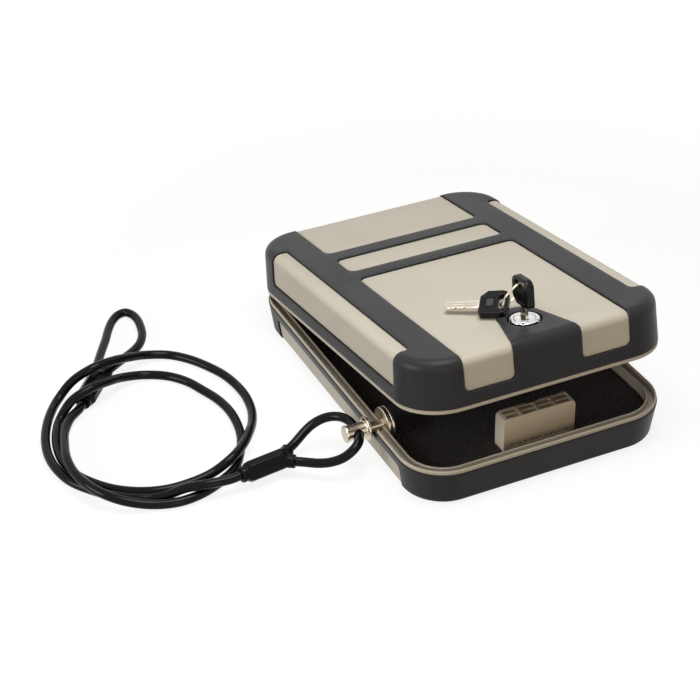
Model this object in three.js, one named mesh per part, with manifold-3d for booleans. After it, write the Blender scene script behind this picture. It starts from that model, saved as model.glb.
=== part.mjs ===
// Portable car safe: a two-shell clamshell box with a key lock in the lid, a steel pin that clips into
// the rim and a coated steel cable whose eye is captive on that pin.
// Millimetres, +Z up, lock side towards -Y, hinge towards +Y, cable towards -X.
// The origin is the centre of the resting face. Lid pieces are drawn closed and turned as one group.
import * as THREE from 'three';
import { mergeVertices } from 'three/addons/utils/BufferGeometryUtils.js';
import ManifoldModule from 'manifold-3d';

const wasm = await ManifoldModule();
wasm.setup();

// Colours and surface finish, one row per material slot.
const finish = {
  tan_shell: { color: '#b9af9b', roughness: 0.55, metalness: 0 },
  dark_jacket: { color: '#3a3a3c', roughness: 0.6, metalness: 0 },
  black_foam: { color: '#141416', roughness: 0.95, metalness: 0 },
  chrome: { color: '#d8d8d6', roughness: 0.12, metalness: 1 },
  nickel_steel: { color: '#b8b09c', roughness: 0.3, metalness: 1 },
  zinc_steel: { color: '#a6a9ab', roughness: 0.4, metalness: 1 },
  brass: { color: '#a88a4a', roughness: 0.35, metalness: 1 },
  black_vinyl: { color: '#1b1b1d', roughness: 0.4, metalness: 0 },
  black_grip: { color: '#1d1d20', roughness: 0.45, metalness: 0 },
};

// Overall box.
const boxWidth = 178;
const boxDepth = 254;
const planCornerRadius = 30.2;
const cornerSteps = 8;
const filletSteps = 4;
const fitGap = 0.3;

// Skin thicknesses, measured inwards from the outer surface.
const jacketThickness = 1.6;
const panelSetback = 0.9;
const panelGap = 0.45;

// Base heights.
const baseJacketTop = 23;
const baseLean = 2.7;
const baseEdgeRadius = 3.6;
const outerLipTop = 25.5;
const outerLipSetback = 0.6;
const outerLipThickness = 1.2;
const grooveWidth = 4.2;
const grooveFloor = 20.6;
const innerLipTop = 24.4;
const innerLipThickness = 1.3;
const baseFloorTop = 4.4;
const floorFillet = 2.4;

// Lid heights in the closed position.
const lidRim = 26.3;
const lidStripHeight = 2.6;
const lidStripSetback = 0.4;
const lidTop = 59.4;
const lidLean = 1.3;
const lidEdgeRadius = 6.4;
const lidWall = 3.1;
const lidRoof = 3;
const ribSetback = 3.4;
const ribThickness = 1.1;
const ribDrop = 1.4;
const ribRearInset = 35;
const ribRearEnd = boxDepth / 2 - ribRearInset;

// Hinge.
const hingeInset = 1.5;
const hingeY = boxDepth / 2 - hingeInset;
const hingeZ = 20.27;
const hingeOpenDegrees = 8.86;
const knuckleRadius = 2.9;
const hingePinRadius = 1.3;
const lidKnuckleHalf = 30;
const baseKnuckleEnd = 44;
const hingePinHalf = 42.5;
const knuckleClearance = 0.45;
const hingeArmAhead = 2.6;
const hingeArmBehind = 1.1;
const hingeArmFront = hingeY - hingeArmAhead;
const hingeArmRear = hingeY + hingeArmBehind;

// Windows in the two jackets.
const sideWindowReach = 13;
const sideWindowFrontInset = 31;
const sideWindowRearInset = 37;
const sideWindowInner = boxWidth / 2 - sideWindowReach;
const sideWindowFront = sideWindowFrontInset - boxDepth / 2;
const sideWindowRear = boxDepth / 2 - sideWindowRearInset;
const lidWindowBottom = 37.2;
const railReach = 32.5;
const wideWindowHalf = boxWidth / 2 - railReach;
const rearWindowLength = 59;
const rearWindowFront = boxDepth / 2 - rearWindowLength;
const rearCrossbar = 12.7;
const frontCrossbar = 12.6;
const namePlateLength = 24.7;
const namePlateStep = 0.5;
const namePlateHalf = wideWindowHalf - namePlateStep;
const namePlateRear = rearWindowFront - rearCrossbar;
const namePlateFront = namePlateRear - namePlateLength;
const mainWindowRear = namePlateFront - frontCrossbar;
const windowCorner = 3.6;
const baseWindowTop = 17;
const baseWindowReach = 7;
const baseWindowInner = boxWidth / 2 - baseWindowReach;
const beyond = 40;

// Dark tongue that carries the lock.
const lockInset = 29;
const lockY = lockInset - boxDepth / 2;
const tongueTipAhead = 4;
const tongueTipY = lockY + tongueTipAhead;
const tongueTipRadius = 14.5;
const tongueNeckHalf = 14.3;
const tongueNeckAhead = 6.5;
const tongueNeckY = lockY + tongueNeckAhead;
const tongueFoldHalf = 22.8;
const tongueFoldInset = 3.5;
const tongueFoldY = tongueFoldInset - boxDepth / 2;
const tongueSteps = 10;

// Lock, axis square to the lid.
const lockFaceTop = 59.9;
const lockFaceRadius = 9.2;
const lockRecessRadius = 10.9;
const lockRecessDepth = 1;
const lockBarrelRadius = 8.2;
const lockBarrelBottom = 43.4;
const lockBoreRadius = 6.3;
const plugRadius = 6;
const plugFaceRadius = 6.7;
const plugFaceThickness = 1.3;
const plugBottom = 42.4;
const plugFloor = 1.8;
const chamberHalfX = 2.9;
const chamberHalfY = 4.6;
const keywayHalfX = 1.35;
const keywayHalfY = 3.75;
const tailRadius = 2.4;
const tailBottom = 28.4;
const shoulderRadius = 3.5;
const shoulderHeight = 1.6;
const camTop = 33.6;
const camThickness = 2;
const camHubRadius = 4;
const camReach = 8.8;
const camHalfWidth = 2.4;
const camNutHeight = 2.2;
const camNutRadius = 4;
const lockNutHeight = 3.2;
const lockNutRadius = 12.4;
const waferCount = 4;
const waferThickness = 0.9;
const waferPitch = 2.7;
const waferLowest = 45.4;

// Latch block on the base.
const blockHalf = 25;
const blockInset = 15;
const blockThickness = 11;
const blockFront = blockInset - boxDepth / 2;
const blockRear = blockFront + blockThickness;
const blockTop = 40.8;
const blockChamfer = 1.6;
const pocketRowsIn = [2.7, 7.4];
const pocketRows = pocketRowsIn.map((along) => blockFront + along);
const pocketColumns = 4;
const pocketPitch = 11.6;
const pocketLength = 9.6;
const pocketWidth = 3.2;
const pocketDepth = 4;
const toothCount = 9;
const toothPitch = 4.6;
const toothWidth = 3;
const toothBottom = 19;
const toothHeight = 2.4;
const toothDepth = 2;
const camSlotClear = 0.6;
const camSlotHalf = 12;
const camSlotHeight = 5;
const screwX = 16;
const screwHeadRadius = 3.4;
const screwHeadHeight = 1.1;
const screwShankRadius = 1.6;
const screwReach = 13;

// Foam.
const foamTop = 18.2;
const lidFoamBottom = 48.4;
const lidFoamLockRadius = 13.4;

// Cable pin.
const pinInset = 67.5;
const pinY = pinInset - boxDepth / 2;
const pinZ = 23;
const pinReach = 17.8;
const pinEndX = -boxWidth / 2 - pinReach;
const pinShankRadius = 4.9;
const pinEndRadius = 5.5;
const pinEndThickness = 1.6;
const collarReach = 3.9;
const collarX = -boxWidth / 2 - collarReach;
const collarThickness = 1.5;
const collarRadius = 7.6;
const neckRadius = 3;
const discInset = 7.7;
const discX = discInset - boxWidth / 2;
const discThickness = 4.2;
const discRadius = 10.8;
const discChamfer = 0.9;
const eyeHoleIn = 8.2;
const eyeHoleX = pinEndX + eyeHoleIn;
const eyeHoleRadius = 3.7;
const eyeHoleTurn = 8;
const lipNotchHalf = 7.6;
const lipNotchBottom = 18.9;
const pinRoomGap = 0.8;
const innerNotchRadius = neckRadius + pinRoomGap;
const discPocketAhead = 1.3;
const discPocketReach = discX + discThickness + discPocketAhead;
const discPocketHalf = discRadius + pinRoomGap;
const discPocketBottom = pinZ - discPocketHalf;

// Key pair and split ring. A key's own frame: x from tip to ring end, y across, z through the grip.
const keyHeadLength = 18;
const keyHeadWidth = 19.5;
const keyHeadThickness = 4.6;
const keyHeadCorner = 5;
const keyHeadTaper = 4.4;
const keySlotLength = 12;
const keySlotWidth = 3.8;
const keySlotFromEnd = 4.4;
const keyBladeLength = 22;
const keyBladeWidth = 6.6;
const keyBladeThickness = 1.8;
const keyTangLength = 6.5;
const keyTangWidth = 5.2;
const keyTipTaper = 2.2;
const keyCuts = [[4.2, 0.9], [7, 1.5], [9.8, 0.7], [12.6, 1.2]];
const keyCutHalf = 1.1;
const keyPanelDepth = 0.35;
const keyPanelMargin = 2.2;
const keyAHeadBottom = 68.3;
const keyBFromLock = [-10.7, 17.2, 65.3];
const keyBTurns = [21.4, -4.1, -39.2];
const ringRadius = 11.5;
const ringWireRadius = 0.75;
const ringFromLock = [-0.5, 10.2, 72.8];
const ringNormal = [0.3602, -0.7304, -0.5803];

// Cable, measured from the pin's place on the side of the box.
const cableRadius = 3;
const cableSides = 10;
const runSteps = 78;
const pinEyeSteps = 34;
const endEyeSteps = 32;
const endStraight = 6;
const leastCableGap = 0.4;
const ferruleNeckLength = 5;
const ferruleNeckRadius = 5;
const ferruleBodyLength = 28;
const ferruleBodyHalf = 6.3;
const ferruleChamfer = 1.5;
const ferruleSleeveRadius = 4.3;
const ferruleSleeveLength = 9;
const ferruleA = {
  neckEnd: [-84.55, 6.87, 9.9],
  bearing: 8.2,
  exits: [
    { along: 38, across: 6, turn: 20, rise: 10 },
    { along: 35, across: -7.3, turn: -42, rise: 0 },
  ],
};
const ferruleB = {
  neckEnd: [-145.65, 128.7, 6.35],
  bearing: 52.9,
  exits: [
    { along: 38.5, across: 4.1, turn: 12, rise: -3 },
    { along: 38.5, across: -4.1, turn: -14, rise: -3 },
  ],
};
const pinEyeRoute = [
  [-33.2, 25.6, 14.3],
  [-27.8, 27.1, 16.4],
  [-22, 26.9, 18.6],
  [-16.4, 24.3, 20.7],
  [-11.8, 19.1, 22.3],
  [-9.3, 12, 23.1],
  [-9, 5.5, 23.1],
  [-9.6, 0, 23],
  [-10.6, -5.8, 22.7],
  [-13.3, -10.1, 21.9],
  [-18, -12.8, 19.8],
  [-24, -12.4, 16],
  [-30.8, -8.8, 12.4],
  [-37.5, -3.8, 10.4],
];
const endEyeRoute = [
  [-118, 177.5, 5.4],
  [-113, 187, 4.8],
  [-107.4, 197.5, 4],
  [-101, 210.5, 3.3],
  [-95, 220.2, 3],
  [-88.8, 226.1, 3],
  [-83.2, 227.2, 3],
  [-79.8, 222.5, 3],
  [-78.6, 214.5, 3],
  [-79.6, 204.5, 3],
  [-82.2, 193.8, 3],
  [-87.6, 184, 3],
  [-94.5, 177.1, 3.3],
  [-102, 171.1, 4.2],
];
const runRoute = [
  [-103.5, 6.5, 10.5],
  [-118, 11.5, 8.7],
  [-132, 16.5, 3.5],
  [-146.5, 22, 3.4],
  [-159, 31, 3.8],
  [-169, 43, 3.5],
  [-177, 56.5, 3.2],
  [-181, 71.5, 3.4],
  [-181.5, 87, 3.1],
  [-179, 102, 3.1],
  [-174, 117, 3.1],
  [-167, 131, 3.2],
  [-158, 143.5, 3.9],
  [-145.5, 148.5, 11.7],
  [-131, 149, 17.3],
  [-116.5, 153.5, 15.8],
  [-103, 159.5, 11.1],
  [-89, 165, 5.6],
  [-74.5, 161.5, 3.3],
  [-64, 150.5, 3.2],
  [-56, 137, 3.1],
  [-50, 122.5, 3.1],
  [-47, 107.5, 3.1],
  [-46.5, 92, 3.1],
  [-49, 76.5, 3.2],
  [-54.5, 62, 4.6],
  [-62, 48.5, 7.7],
  [-71, 36, 9.5],
  [-82, 26, 10.1],
  [-96.5, 23, 5.1],
  [-112, 22, 3.2],
  [-127.5, 22.5, 3.1],
  [-142, 27.5, 3.1],
  [-155, 36.5, 3.1],
  [-165, 48.5, 3.1],
  [-172, 62, 3.1],
  [-175, 77.5, 3.1],
  [-174, 93, 3.1],
  [-170, 108, 3.4],
  [-163, 122, 3.9],
  [-153, 126, 12.5],
  [-138.5, 129, 16],
  [-125.5, 136, 12.7],
  [-113, 144, 7.3],
  [-98, 146, 3.5],
  [-84.5, 138.5, 3.1],
  [-75, 126.5, 3.1],
  [-69, 112, 3.1],
  [-64, 97, 3.1],
  [-62, 82, 3.1],
  [-63, 66, 3.1],
  [-66.5, 51, 3.1],
  [-73, 37, 3.1],
  [-82, 23.5, 3.1],
  [-94.5, 15, 3.1],
  [-109, 9, 3.1],
  [-124, 7.5, 3.1],
  [-139, 11.5, 3.5],
  [-153.5, 17.5, 6.5],
  [-164.5, 27.5, 9],
  [-171.5, 41.5, 10],
  [-174.5, 56.5, 10],
  [-174, 72, 10],
  [-170.5, 87.5, 8.6],
  [-166, 102, 7.1],
  [-158, 115.5, 6.7],
];

// Small helpers.
const degrees = Math.PI / 180;

function solidFrom(geometry) {
  const plain = geometry.clone();
  plain.deleteAttribute('normal');
  plain.deleteAttribute('uv');
  const merged = mergeVertices(plain, 1e-4);
  return new wasm.Manifold(new wasm.Mesh({
    numProp: 3,
    vertProperties: new Float32Array(merged.attributes.position.array),
    triVerts: new Uint32Array(merged.index.array),
  }));
}

function geometryFrom(solid) {
  const mesh = solid.getMesh();
  const geometry = new THREE.BufferGeometry();
  const positions = new Float32Array(mesh.numVert * 3);
  for (let vertex = 0; vertex < mesh.numVert; vertex += 1) {
    for (let axis = 0; axis < 3; axis += 1) {
      positions[vertex * 3 + axis] = mesh.vertProperties[vertex * mesh.numProp + axis];
    }
  }
  geometry.setAttribute('position', new THREE.BufferAttribute(positions, 3));
  geometry.setIndex(new THREE.BufferAttribute(new Uint32Array(mesh.triVerts), 1));
  geometry.computeVertexNormals();
  return geometry;
}

function box(x0, x1, y0, y1, z0, z1) {
  const geometry = new THREE.BoxGeometry(x1 - x0, y1 - y0, z1 - z0);
  geometry.translate((x0 + x1) / 2, (y0 + y1) / 2, (z0 + z1) / 2);
  return solidFrom(geometry);
}

// Turned body about a vertical axis at (x, y) from [radius, z] pairs that start and end on the axis.
function turned(profile, x, y, segments) {
  const points = profile.map(([radius, z]) => new THREE.Vector2(radius, z));
  const geometry = new THREE.LatheGeometry(points, segments);
  geometry.rotateX(Math.PI / 2);
  geometry.translate(x, y, 0);
  return solidFrom(geometry);
}

function disc(radius, z0, z1, x, y, segments = 32) {
  return turned([[0, z0], [radius, z0], [radius, z1], [0, z1]], x, y, segments);
}

// Turned body about an axis along X at (y, z) from [radius, x] pairs.
function turnedAlongX(profile, y, z, segments) {
  const points = profile.map(([radius, x]) => new THREE.Vector2(radius, x));
  const geometry = new THREE.LatheGeometry(points, segments);
  geometry.rotateZ(-Math.PI / 2);
  geometry.translate(0, y, z);
  return solidFrom(geometry);
}

function rodAlongX(radius, x0, x1, y, z, segments = 24) {
  return turnedAlongX([[0, x0], [radius, x0], [radius, x1], [0, x1]], y, z, segments);
}

function cutAll(solid, cutters) {
  return cutters.reduce((left, cutter) => left.subtract(cutter), solid);
}

function joinAll(solids) {
  return solids.reduce((left, solid) => left.add(solid));
}

// Plan outline of the box, set in by a distance, as [x, y] points counter-clockwise.
function planOutline(setback) {
  const halfX = boxWidth / 2 - setback;
  const halfY = boxDepth / 2 - setback;
  const radius = planCornerRadius - setback;
  const corners = [[1, -1, -90], [1, 1, 0], [-1, 1, 90], [-1, -1, 180]];
  return corners.flatMap(([signX, signY, start]) => Array.from({ length: cornerSteps + 1 }, (_, step) => {
    const angle = (start + (90 * step) / cornerSteps) * degrees;
    return [
      signX * (halfX - radius) + radius * Math.cos(angle),
      signY * (halfY - radius) + radius * Math.sin(angle),
    ];
  }));
}

// Solid swept round the plan outline from [setback, z] pairs. An open profile is capped at both ends on
// its own level, a ring profile joins its last pair to its first.
function swept(profile, ring = false) {
  const rows = profile.map(([setback, z]) => planOutline(setback).map(([x, y]) => [x, y, z]));
  const count = rows[0].length;
  const positions = rows.flat(2);
  const index = [];
  const bands = ring ? rows.length : rows.length - 1;
  for (let row = 0; row < bands; row += 1) {
    const next = (row + 1) % rows.length;
    for (let step = 0; step < count; step += 1) {
      const other = (step + 1) % count;
      const a = row * count + step;
      const b = row * count + other;
      const c = next * count + other;
      const d = next * count + step;
      index.push(a, b, c, a, c, d);
    }
  }
  if (!ring) {
    const first = positions.length / 3;
    positions.push(0, 0, profile[0][1], 0, 0, profile[profile.length - 1][1]);
    const last = (rows.length - 1) * count;
    for (let step = 0; step < count; step += 1) {
      const other = (step + 1) % count;
      index.push(first, other, step);
      index.push(first + 1, last + step, last + other);
    }
  }
  const geometry = new THREE.BufferGeometry();
  geometry.setAttribute('position', new THREE.BufferAttribute(new Float32Array(positions), 3));
  geometry.setIndex(index);
  return solidFrom(geometry);
}

function roundedRectangle(x0, x1, y0, y1, radius) {
  const shape = new THREE.Shape();
  shape.moveTo(x0 + radius, y0);
  shape.lineTo(x1 - radius, y0);
  shape.absarc(x1 - radius, y0 + radius, radius, -Math.PI / 2, 0);
  shape.lineTo(x1, y1 - radius);
  shape.absarc(x1 - radius, y1 - radius, radius, 0, Math.PI / 2);
  shape.lineTo(x0 + radius, y1);
  shape.absarc(x0 + radius, y1 - radius, radius, Math.PI / 2, Math.PI);
  shape.lineTo(x0, y0 + radius);
  shape.absarc(x0 + radius, y0 + radius, radius, Math.PI, Math.PI * 1.5);
  return shape;
}

function extrudeUp(shape, z0, z1, curveSegments = 5) {
  const geometry = new THREE.ExtrudeGeometry(shape, { depth: z1 - z0, bevelEnabled: false, curveSegments });
  geometry.translate(0, 0, z0);
  return solidFrom(geometry);
}

// Shape in (x, z) pushed along Y from y0 to y1.
function extrudeAlongY(shape, y0, y1, curveSegments = 5) {
  const geometry = new THREE.ExtrudeGeometry(shape, { depth: y1 - y0, bevelEnabled: false, curveSegments });
  geometry.rotateX(Math.PI / 2);
  geometry.translate(0, y1, 0);
  return solidFrom(geometry);
}

// Shape in (y, z) pushed along X from x0 to x1.
function extrudeAlongX(shape, x0, x1, curveSegments = 5) {
  const geometry = new THREE.ExtrudeGeometry(shape, { depth: x1 - x0, bevelEnabled: false, curveSegments });
  geometry.rotateX(Math.PI / 2);
  geometry.rotateZ(Math.PI / 2);
  geometry.translate(x0, 0, 0);
  return solidFrom(geometry);
}

// Outer surface of the base, a distance inside the skin: from the bottom edge up to the jacket's top.
function baseSkin(depth) {
  const radius = baseEdgeRadius - depth;
  const foot = baseLean + baseEdgeRadius;
  const rise = baseJacketTop - baseEdgeRadius;
  const arc = Array.from({ length: filletSteps + 1 }, (_, step) => {
    const angle = (90 * step * degrees) / filletSteps;
    return [foot - radius * Math.sin(angle), baseEdgeRadius - radius * Math.cos(angle)];
  });
  return { arc, atHeight: (z) => depth + (baseLean * (baseJacketTop - z)) / rise };
}

// Outer surface of the lid, a distance inside the skin: from a height up over the top edge.
function lidSkin(depth) {
  const shoulder = lidTop - lidEdgeRadius;
  const leanAt = (z) => (lidLean * (z - lidRim)) / (shoulder - lidRim);
  const radius = lidEdgeRadius - depth;
  const arc = Array.from({ length: filletSteps + 2 }, (_, step) => {
    const angle = (90 * step * degrees) / (filletSteps + 1);
    return [lidLean + lidEdgeRadius - radius * Math.cos(angle), shoulder + radius * Math.sin(angle)];
  });
  return { arc, atHeight: (z) => depth + leanAt(z) };
}

const pieces = [];

function piece(name, slot, solid, group = 'base') {
  const material = new THREE.MeshStandardMaterial(finish[slot]);
  const geometry = solid.isBufferGeometry ? solid : geometryFrom(solid);
  const mesh = new THREE.Mesh(geometry, material);
  mesh.name = name;
  pieces.push([mesh, group]);
  return mesh;
}

// Base shell: tray, double-lipped rim, side panels, hinge knuckles.
const shellDepth = jacketThickness + fitGap;
const shellSkin = baseSkin(shellDepth);
const lipInner = outerLipSetback + outerLipThickness;
const grooveInner = lipInner + grooveWidth;
const innerLipInner = grooveInner + innerLipThickness;

const baseTray = swept([
  ...shellSkin.arc,
  [shellSkin.atHeight(baseJacketTop), baseJacketTop],
  [shellSkin.atHeight(baseJacketTop), baseJacketTop + fitGap],
  [outerLipSetback, baseJacketTop + fitGap],
  [outerLipSetback, outerLipTop],
  [lipInner, outerLipTop],
  [lipInner, grooveFloor],
  [grooveInner, grooveFloor],
  [grooveInner, innerLipTop],
  [innerLipInner, innerLipTop],
  [innerLipInner, baseFloorTop + floorFillet],
  [innerLipInner + floorFillet, baseFloorTop],
]);

const panelSkin = baseSkin(panelSetback);
const basePanelBody = swept([
  ...panelSkin.arc,
  [panelSkin.atHeight(baseWindowTop), baseWindowTop],
]);

function sidePrism(side, inner, front, rear, z0, z1, radius) {
  const outer = boxWidth / 2 + beyond;
  const shape = roundedRectangle(front, rear, z0, z1, radius);
  return side > 0 ? extrudeAlongX(shape, inner, outer) : extrudeAlongX(shape, -outer, -inner);
}

const sides = [-1, 1];

function baseSideWindow(side, shrink) {
  return sidePrism(side, baseWindowInner + shrink, sideWindowFront + shrink, sideWindowRear - shrink,
    -beyond, baseWindowTop - shrink, windowCorner / 2);
}

const basePanels = sides.map((side) => basePanelBody.intersect(baseSideWindow(side, panelGap)));

const baseKnuckles = rodAlongX(knuckleRadius, -baseKnuckleEnd, baseKnuckleEnd, hingeY, hingeZ);
const lidKnuckleRoom = rodAlongX(knuckleRadius + knuckleClearance, -lidKnuckleHalf - knuckleClearance,
  lidKnuckleHalf + knuckleClearance, hingeY, hingeZ);
const lidArmRoom = box(-lidKnuckleHalf - knuckleClearance, lidKnuckleHalf + knuckleClearance,
  hingeArmFront - knuckleClearance, hingeY + beyond, hingeZ, outerLipTop + beyond);
const hingePinRoom = rodAlongX(hingePinRadius + fitGap, -hingePinHalf - fitGap, hingePinHalf + fitGap,
  hingeY, hingeZ);

// Notch for the cable pin: wide through the outer lip, close round the neck in the inner lip.
const outerNotch = box(-boxWidth / 2 - beyond, -boxWidth / 2 + (lipInner + grooveInner) / 2,
  pinY - lipNotchHalf, pinY + lipNotchHalf, lipNotchBottom, lidRim);
const innerNotch = rodAlongX(innerNotchRadius, -boxWidth / 2, -boxWidth / 2 + innerLipInner + 1, pinY, pinZ)
  .add(box(-boxWidth / 2, -boxWidth / 2 + innerLipInner + 1, pinY - innerNotchRadius,
    pinY + innerNotchRadius, pinZ, lidRim));

const screwY = (blockFront + blockRear) / 2;
const screwPlaces = [-screwX, screwX];
const shankRooms = screwPlaces.map((x) => disc(screwShankRadius + fitGap, -1, blockTop / 2, x, screwY, 20));
const headRooms = screwPlaces.map((x) => disc(screwHeadRadius + fitGap, -1, shellDepth, x, screwY, 24));

piece('base_shell', 'tan_shell', joinAll([
  cutAll(baseTray.add(baseKnuckles), [lidKnuckleRoom.add(lidArmRoom), hingePinRoom, outerNotch, innerNotch,
    ...shankRooms]),
  ...basePanels,
]));

// Base jacket: the dark skin round and under the shell.
const jacketOuter = baseSkin(0);
const jacketInner = baseSkin(jacketThickness);
const baseJacketBody = swept([
  ...jacketOuter.arc,
  [0, baseJacketTop],
  [jacketInner.atHeight(baseJacketTop), baseJacketTop],
  ...[...jacketInner.arc].reverse(),
]);
const hingeRoomHalf = baseKnuckleEnd + 1.5;
const hingeRoom = box(-hingeRoomHalf, hingeRoomHalf, boxDepth / 2 - beyond, boxDepth / 2 + beyond,
  hingeZ - knuckleRadius - knuckleClearance, baseJacketTop + beyond);
piece('base_jacket', 'dark_jacket', cutAll(baseJacketBody, [
  ...sides.map((side) => baseSideWindow(side, 0)),
  hingeRoom,
  outerNotch,
  ...headRooms,
]));

// Base foam with cut-outs for the latch block and the pin's inner disc.
const foamSetback = innerLipInner + fitGap;
const foamBody = swept([
  [foamSetback + floorFillet, baseFloorTop + fitGap],
  [foamSetback, baseFloorTop + fitGap + floorFillet],
  [foamSetback, foamTop],
]);
const blockRoom = box(-blockHalf - fitGap, blockHalf + fitGap, blockFront - fitGap, blockRear + fitGap,
  -1, foamTop + 1);
const discRoom = box(-boxWidth / 2, discPocketReach, pinY - discPocketHalf, pinY + discPocketHalf,
  discPocketBottom, foamTop + 1);
piece('base_foam', 'black_foam', cutAll(foamBody, [blockRoom, discRoom]));

// Latch block.
const blockBottom = baseFloorTop + fitGap;
const blockShape = new THREE.Shape();
blockShape.moveTo(-blockHalf, blockBottom);
blockShape.lineTo(blockHalf, blockBottom);
blockShape.lineTo(blockHalf, blockTop - blockChamfer * 2);
blockShape.lineTo(blockHalf - blockChamfer * 0.6, blockTop - blockChamfer * 0.6);
blockShape.lineTo(blockHalf - blockChamfer * 2, blockTop);
blockShape.lineTo(-blockHalf + blockChamfer * 2, blockTop);
blockShape.lineTo(-blockHalf + blockChamfer * 0.6, blockTop - blockChamfer * 0.6);
blockShape.lineTo(-blockHalf, blockTop - blockChamfer * 2);
const pockets = pocketRows.flatMap((y) => Array.from({ length: pocketColumns }, (_, column) => {
  const x = (column - (pocketColumns - 1) / 2) * pocketPitch;
  return box(x - pocketLength / 2, x + pocketLength / 2, y - pocketWidth / 2, y + pocketWidth / 2,
    blockTop - pocketDepth, blockTop + 1);
}));
const teeth = Array.from({ length: toothCount }, (_, tooth) => {
  const x = (tooth - (toothCount - 1) / 2) * toothPitch;
  return box(x - toothWidth / 2, x + toothWidth / 2, blockFront - 1, blockFront + toothDepth,
    toothBottom, toothBottom + toothHeight);
});
const camBottom = camTop - camThickness;
const camMiddle = camTop - camThickness / 2;
const camSlot = box(-camSlotHalf, camSlotHalf, lockY - camReach - camSlotClear, blockRear + 1,
  camMiddle - camSlotHeight / 2, camMiddle + camSlotHeight / 2);
const tailChannel = box(-camHubRadius - camSlotClear, camHubRadius + camSlotClear,
  lockY - camHubRadius - camSlotClear, blockRear + 1, tailBottom - camSlotClear, blockTop + 1);
piece('latch_block', 'tan_shell', cutAll(extrudeAlongY(blockShape, blockFront, blockRear), [
  ...pockets, ...teeth, camSlot, tailChannel, ...shankRooms,
]));

screwPlaces.forEach((x, place) => {
  const headTop = shellDepth - fitGap;
  const slotHalf = 0.45;
  const screw = turned([
    [0, headTop - screwHeadHeight],
    [screwHeadRadius, headTop - screwHeadHeight],
    [screwHeadRadius, headTop],
    [screwShankRadius, headTop],
    [screwShankRadius, headTop + screwReach],
    [0, headTop + screwReach],
  ], x, screwY, 20);
  const cross = [[slotHalf, 2], [2, slotHalf]].map(([halfX, halfY]) => box(x - halfX, x + halfX,
    screwY - halfY, screwY + halfY, 0, headTop - screwHeadHeight / 2));
  piece(['latch_screw_left', 'latch_screw_right'][place], 'zinc_steel', cutAll(screw, cross));
});

piece('hinge_pin', 'zinc_steel', rodAlongX(hingePinRadius, -hingePinHalf, hingePinHalf, hingeY, hingeZ, 16));

// Cable pin: end flange, cross-drilled shank, collar, neck, inner disc.
const pinProfile = [
  [0, pinEndX],
  [pinEndRadius, pinEndX],
  [pinEndRadius, pinEndX + pinEndThickness],
  [pinShankRadius, pinEndX + pinEndThickness],
  [pinShankRadius, collarX],
  [collarRadius, collarX],
  [collarRadius, collarX + collarThickness],
  [neckRadius, collarX + collarThickness],
  [neckRadius, discX],
  [discRadius - discChamfer, discX],
  [discRadius, discX + discChamfer],
  [discRadius, discX + discThickness - discChamfer],
  [discRadius - discChamfer, discX + discThickness],
  [0, discX + discThickness],
];
const eyeHoleGeometry = new THREE.CylinderGeometry(eyeHoleRadius, eyeHoleRadius, beyond, 20);
eyeHoleGeometry.rotateZ(-eyeHoleTurn * degrees);
eyeHoleGeometry.translate(eyeHoleX, pinY, pinZ);
const eyeHole = solidFrom(eyeHoleGeometry);
piece('cable_pin', 'nickel_steel', turnedAlongX(pinProfile, pinY, pinZ, 28).subtract(eyeHole));

// Lid shell: roof, walls, rim strip, locating rib, raised panels, hinge knuckle.
const lidInnerSkin = lidSkin(shellDepth);
const stripTop = lidRim + lidStripHeight;
const wallInner = shellDepth + lidWall;
const lidBody = swept([
  [wallInner, lidRim],
  [lidStripSetback, lidRim],
  [lidStripSetback, stripTop],
  [lidInnerSkin.atHeight(stripTop), stripTop],
  ...lidInnerSkin.arc,
]);
const lidHollowTop = lidTop - shellDepth - lidRoof;
const lidHollow = swept([
  [wallInner, lidRim - 1],
  [wallInner + lidLean, lidHollowTop - floorFillet],
  [wallInner + lidLean + floorFillet, lidHollowTop],
]);
const ribOuter = swept([[ribSetback, lidRim - ribDrop], [ribSetback, lidRim + 1]]);
const ribInner = swept([
  [ribSetback + ribThickness, lidRim - ribDrop - 1],
  [ribSetback + ribThickness, lidRim + 2],
]);
const ribEnd = box(-boxWidth, boxWidth, ribRearEnd, boxDepth, lidRim - ribDrop - 1, lidRim);
const ribPinRoom = box(-boxWidth, -boxWidth / 4, pinY - lipNotchHalf, pinY + lipNotchHalf,
  lidRim - ribDrop - 1, lidRim);
const rib = cutAll(ribOuter, [ribInner, ribEnd, ribPinRoom]);

const lidPanelSkin = lidSkin(panelSetback);
const lidPanelBody = swept([
  [lidPanelSkin.atHeight(lidWindowBottom), lidWindowBottom],
  ...lidPanelSkin.arc,
]);

function lidSideWindow(side, shrink) {
  return sidePrism(side, sideWindowInner + shrink, sideWindowFront + shrink, sideWindowRear - shrink,
    lidWindowBottom + shrink, lidTop + beyond, windowCorner - shrink);
}

function wideWindow(front, rear, shrink) {
  const half = wideWindowHalf - shrink;
  const shape = roundedRectangle(-half, half, lidWindowBottom + shrink, lidTop + beyond,
    windowCorner - shrink);
  return extrudeAlongY(shape, front, rear);
}

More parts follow.
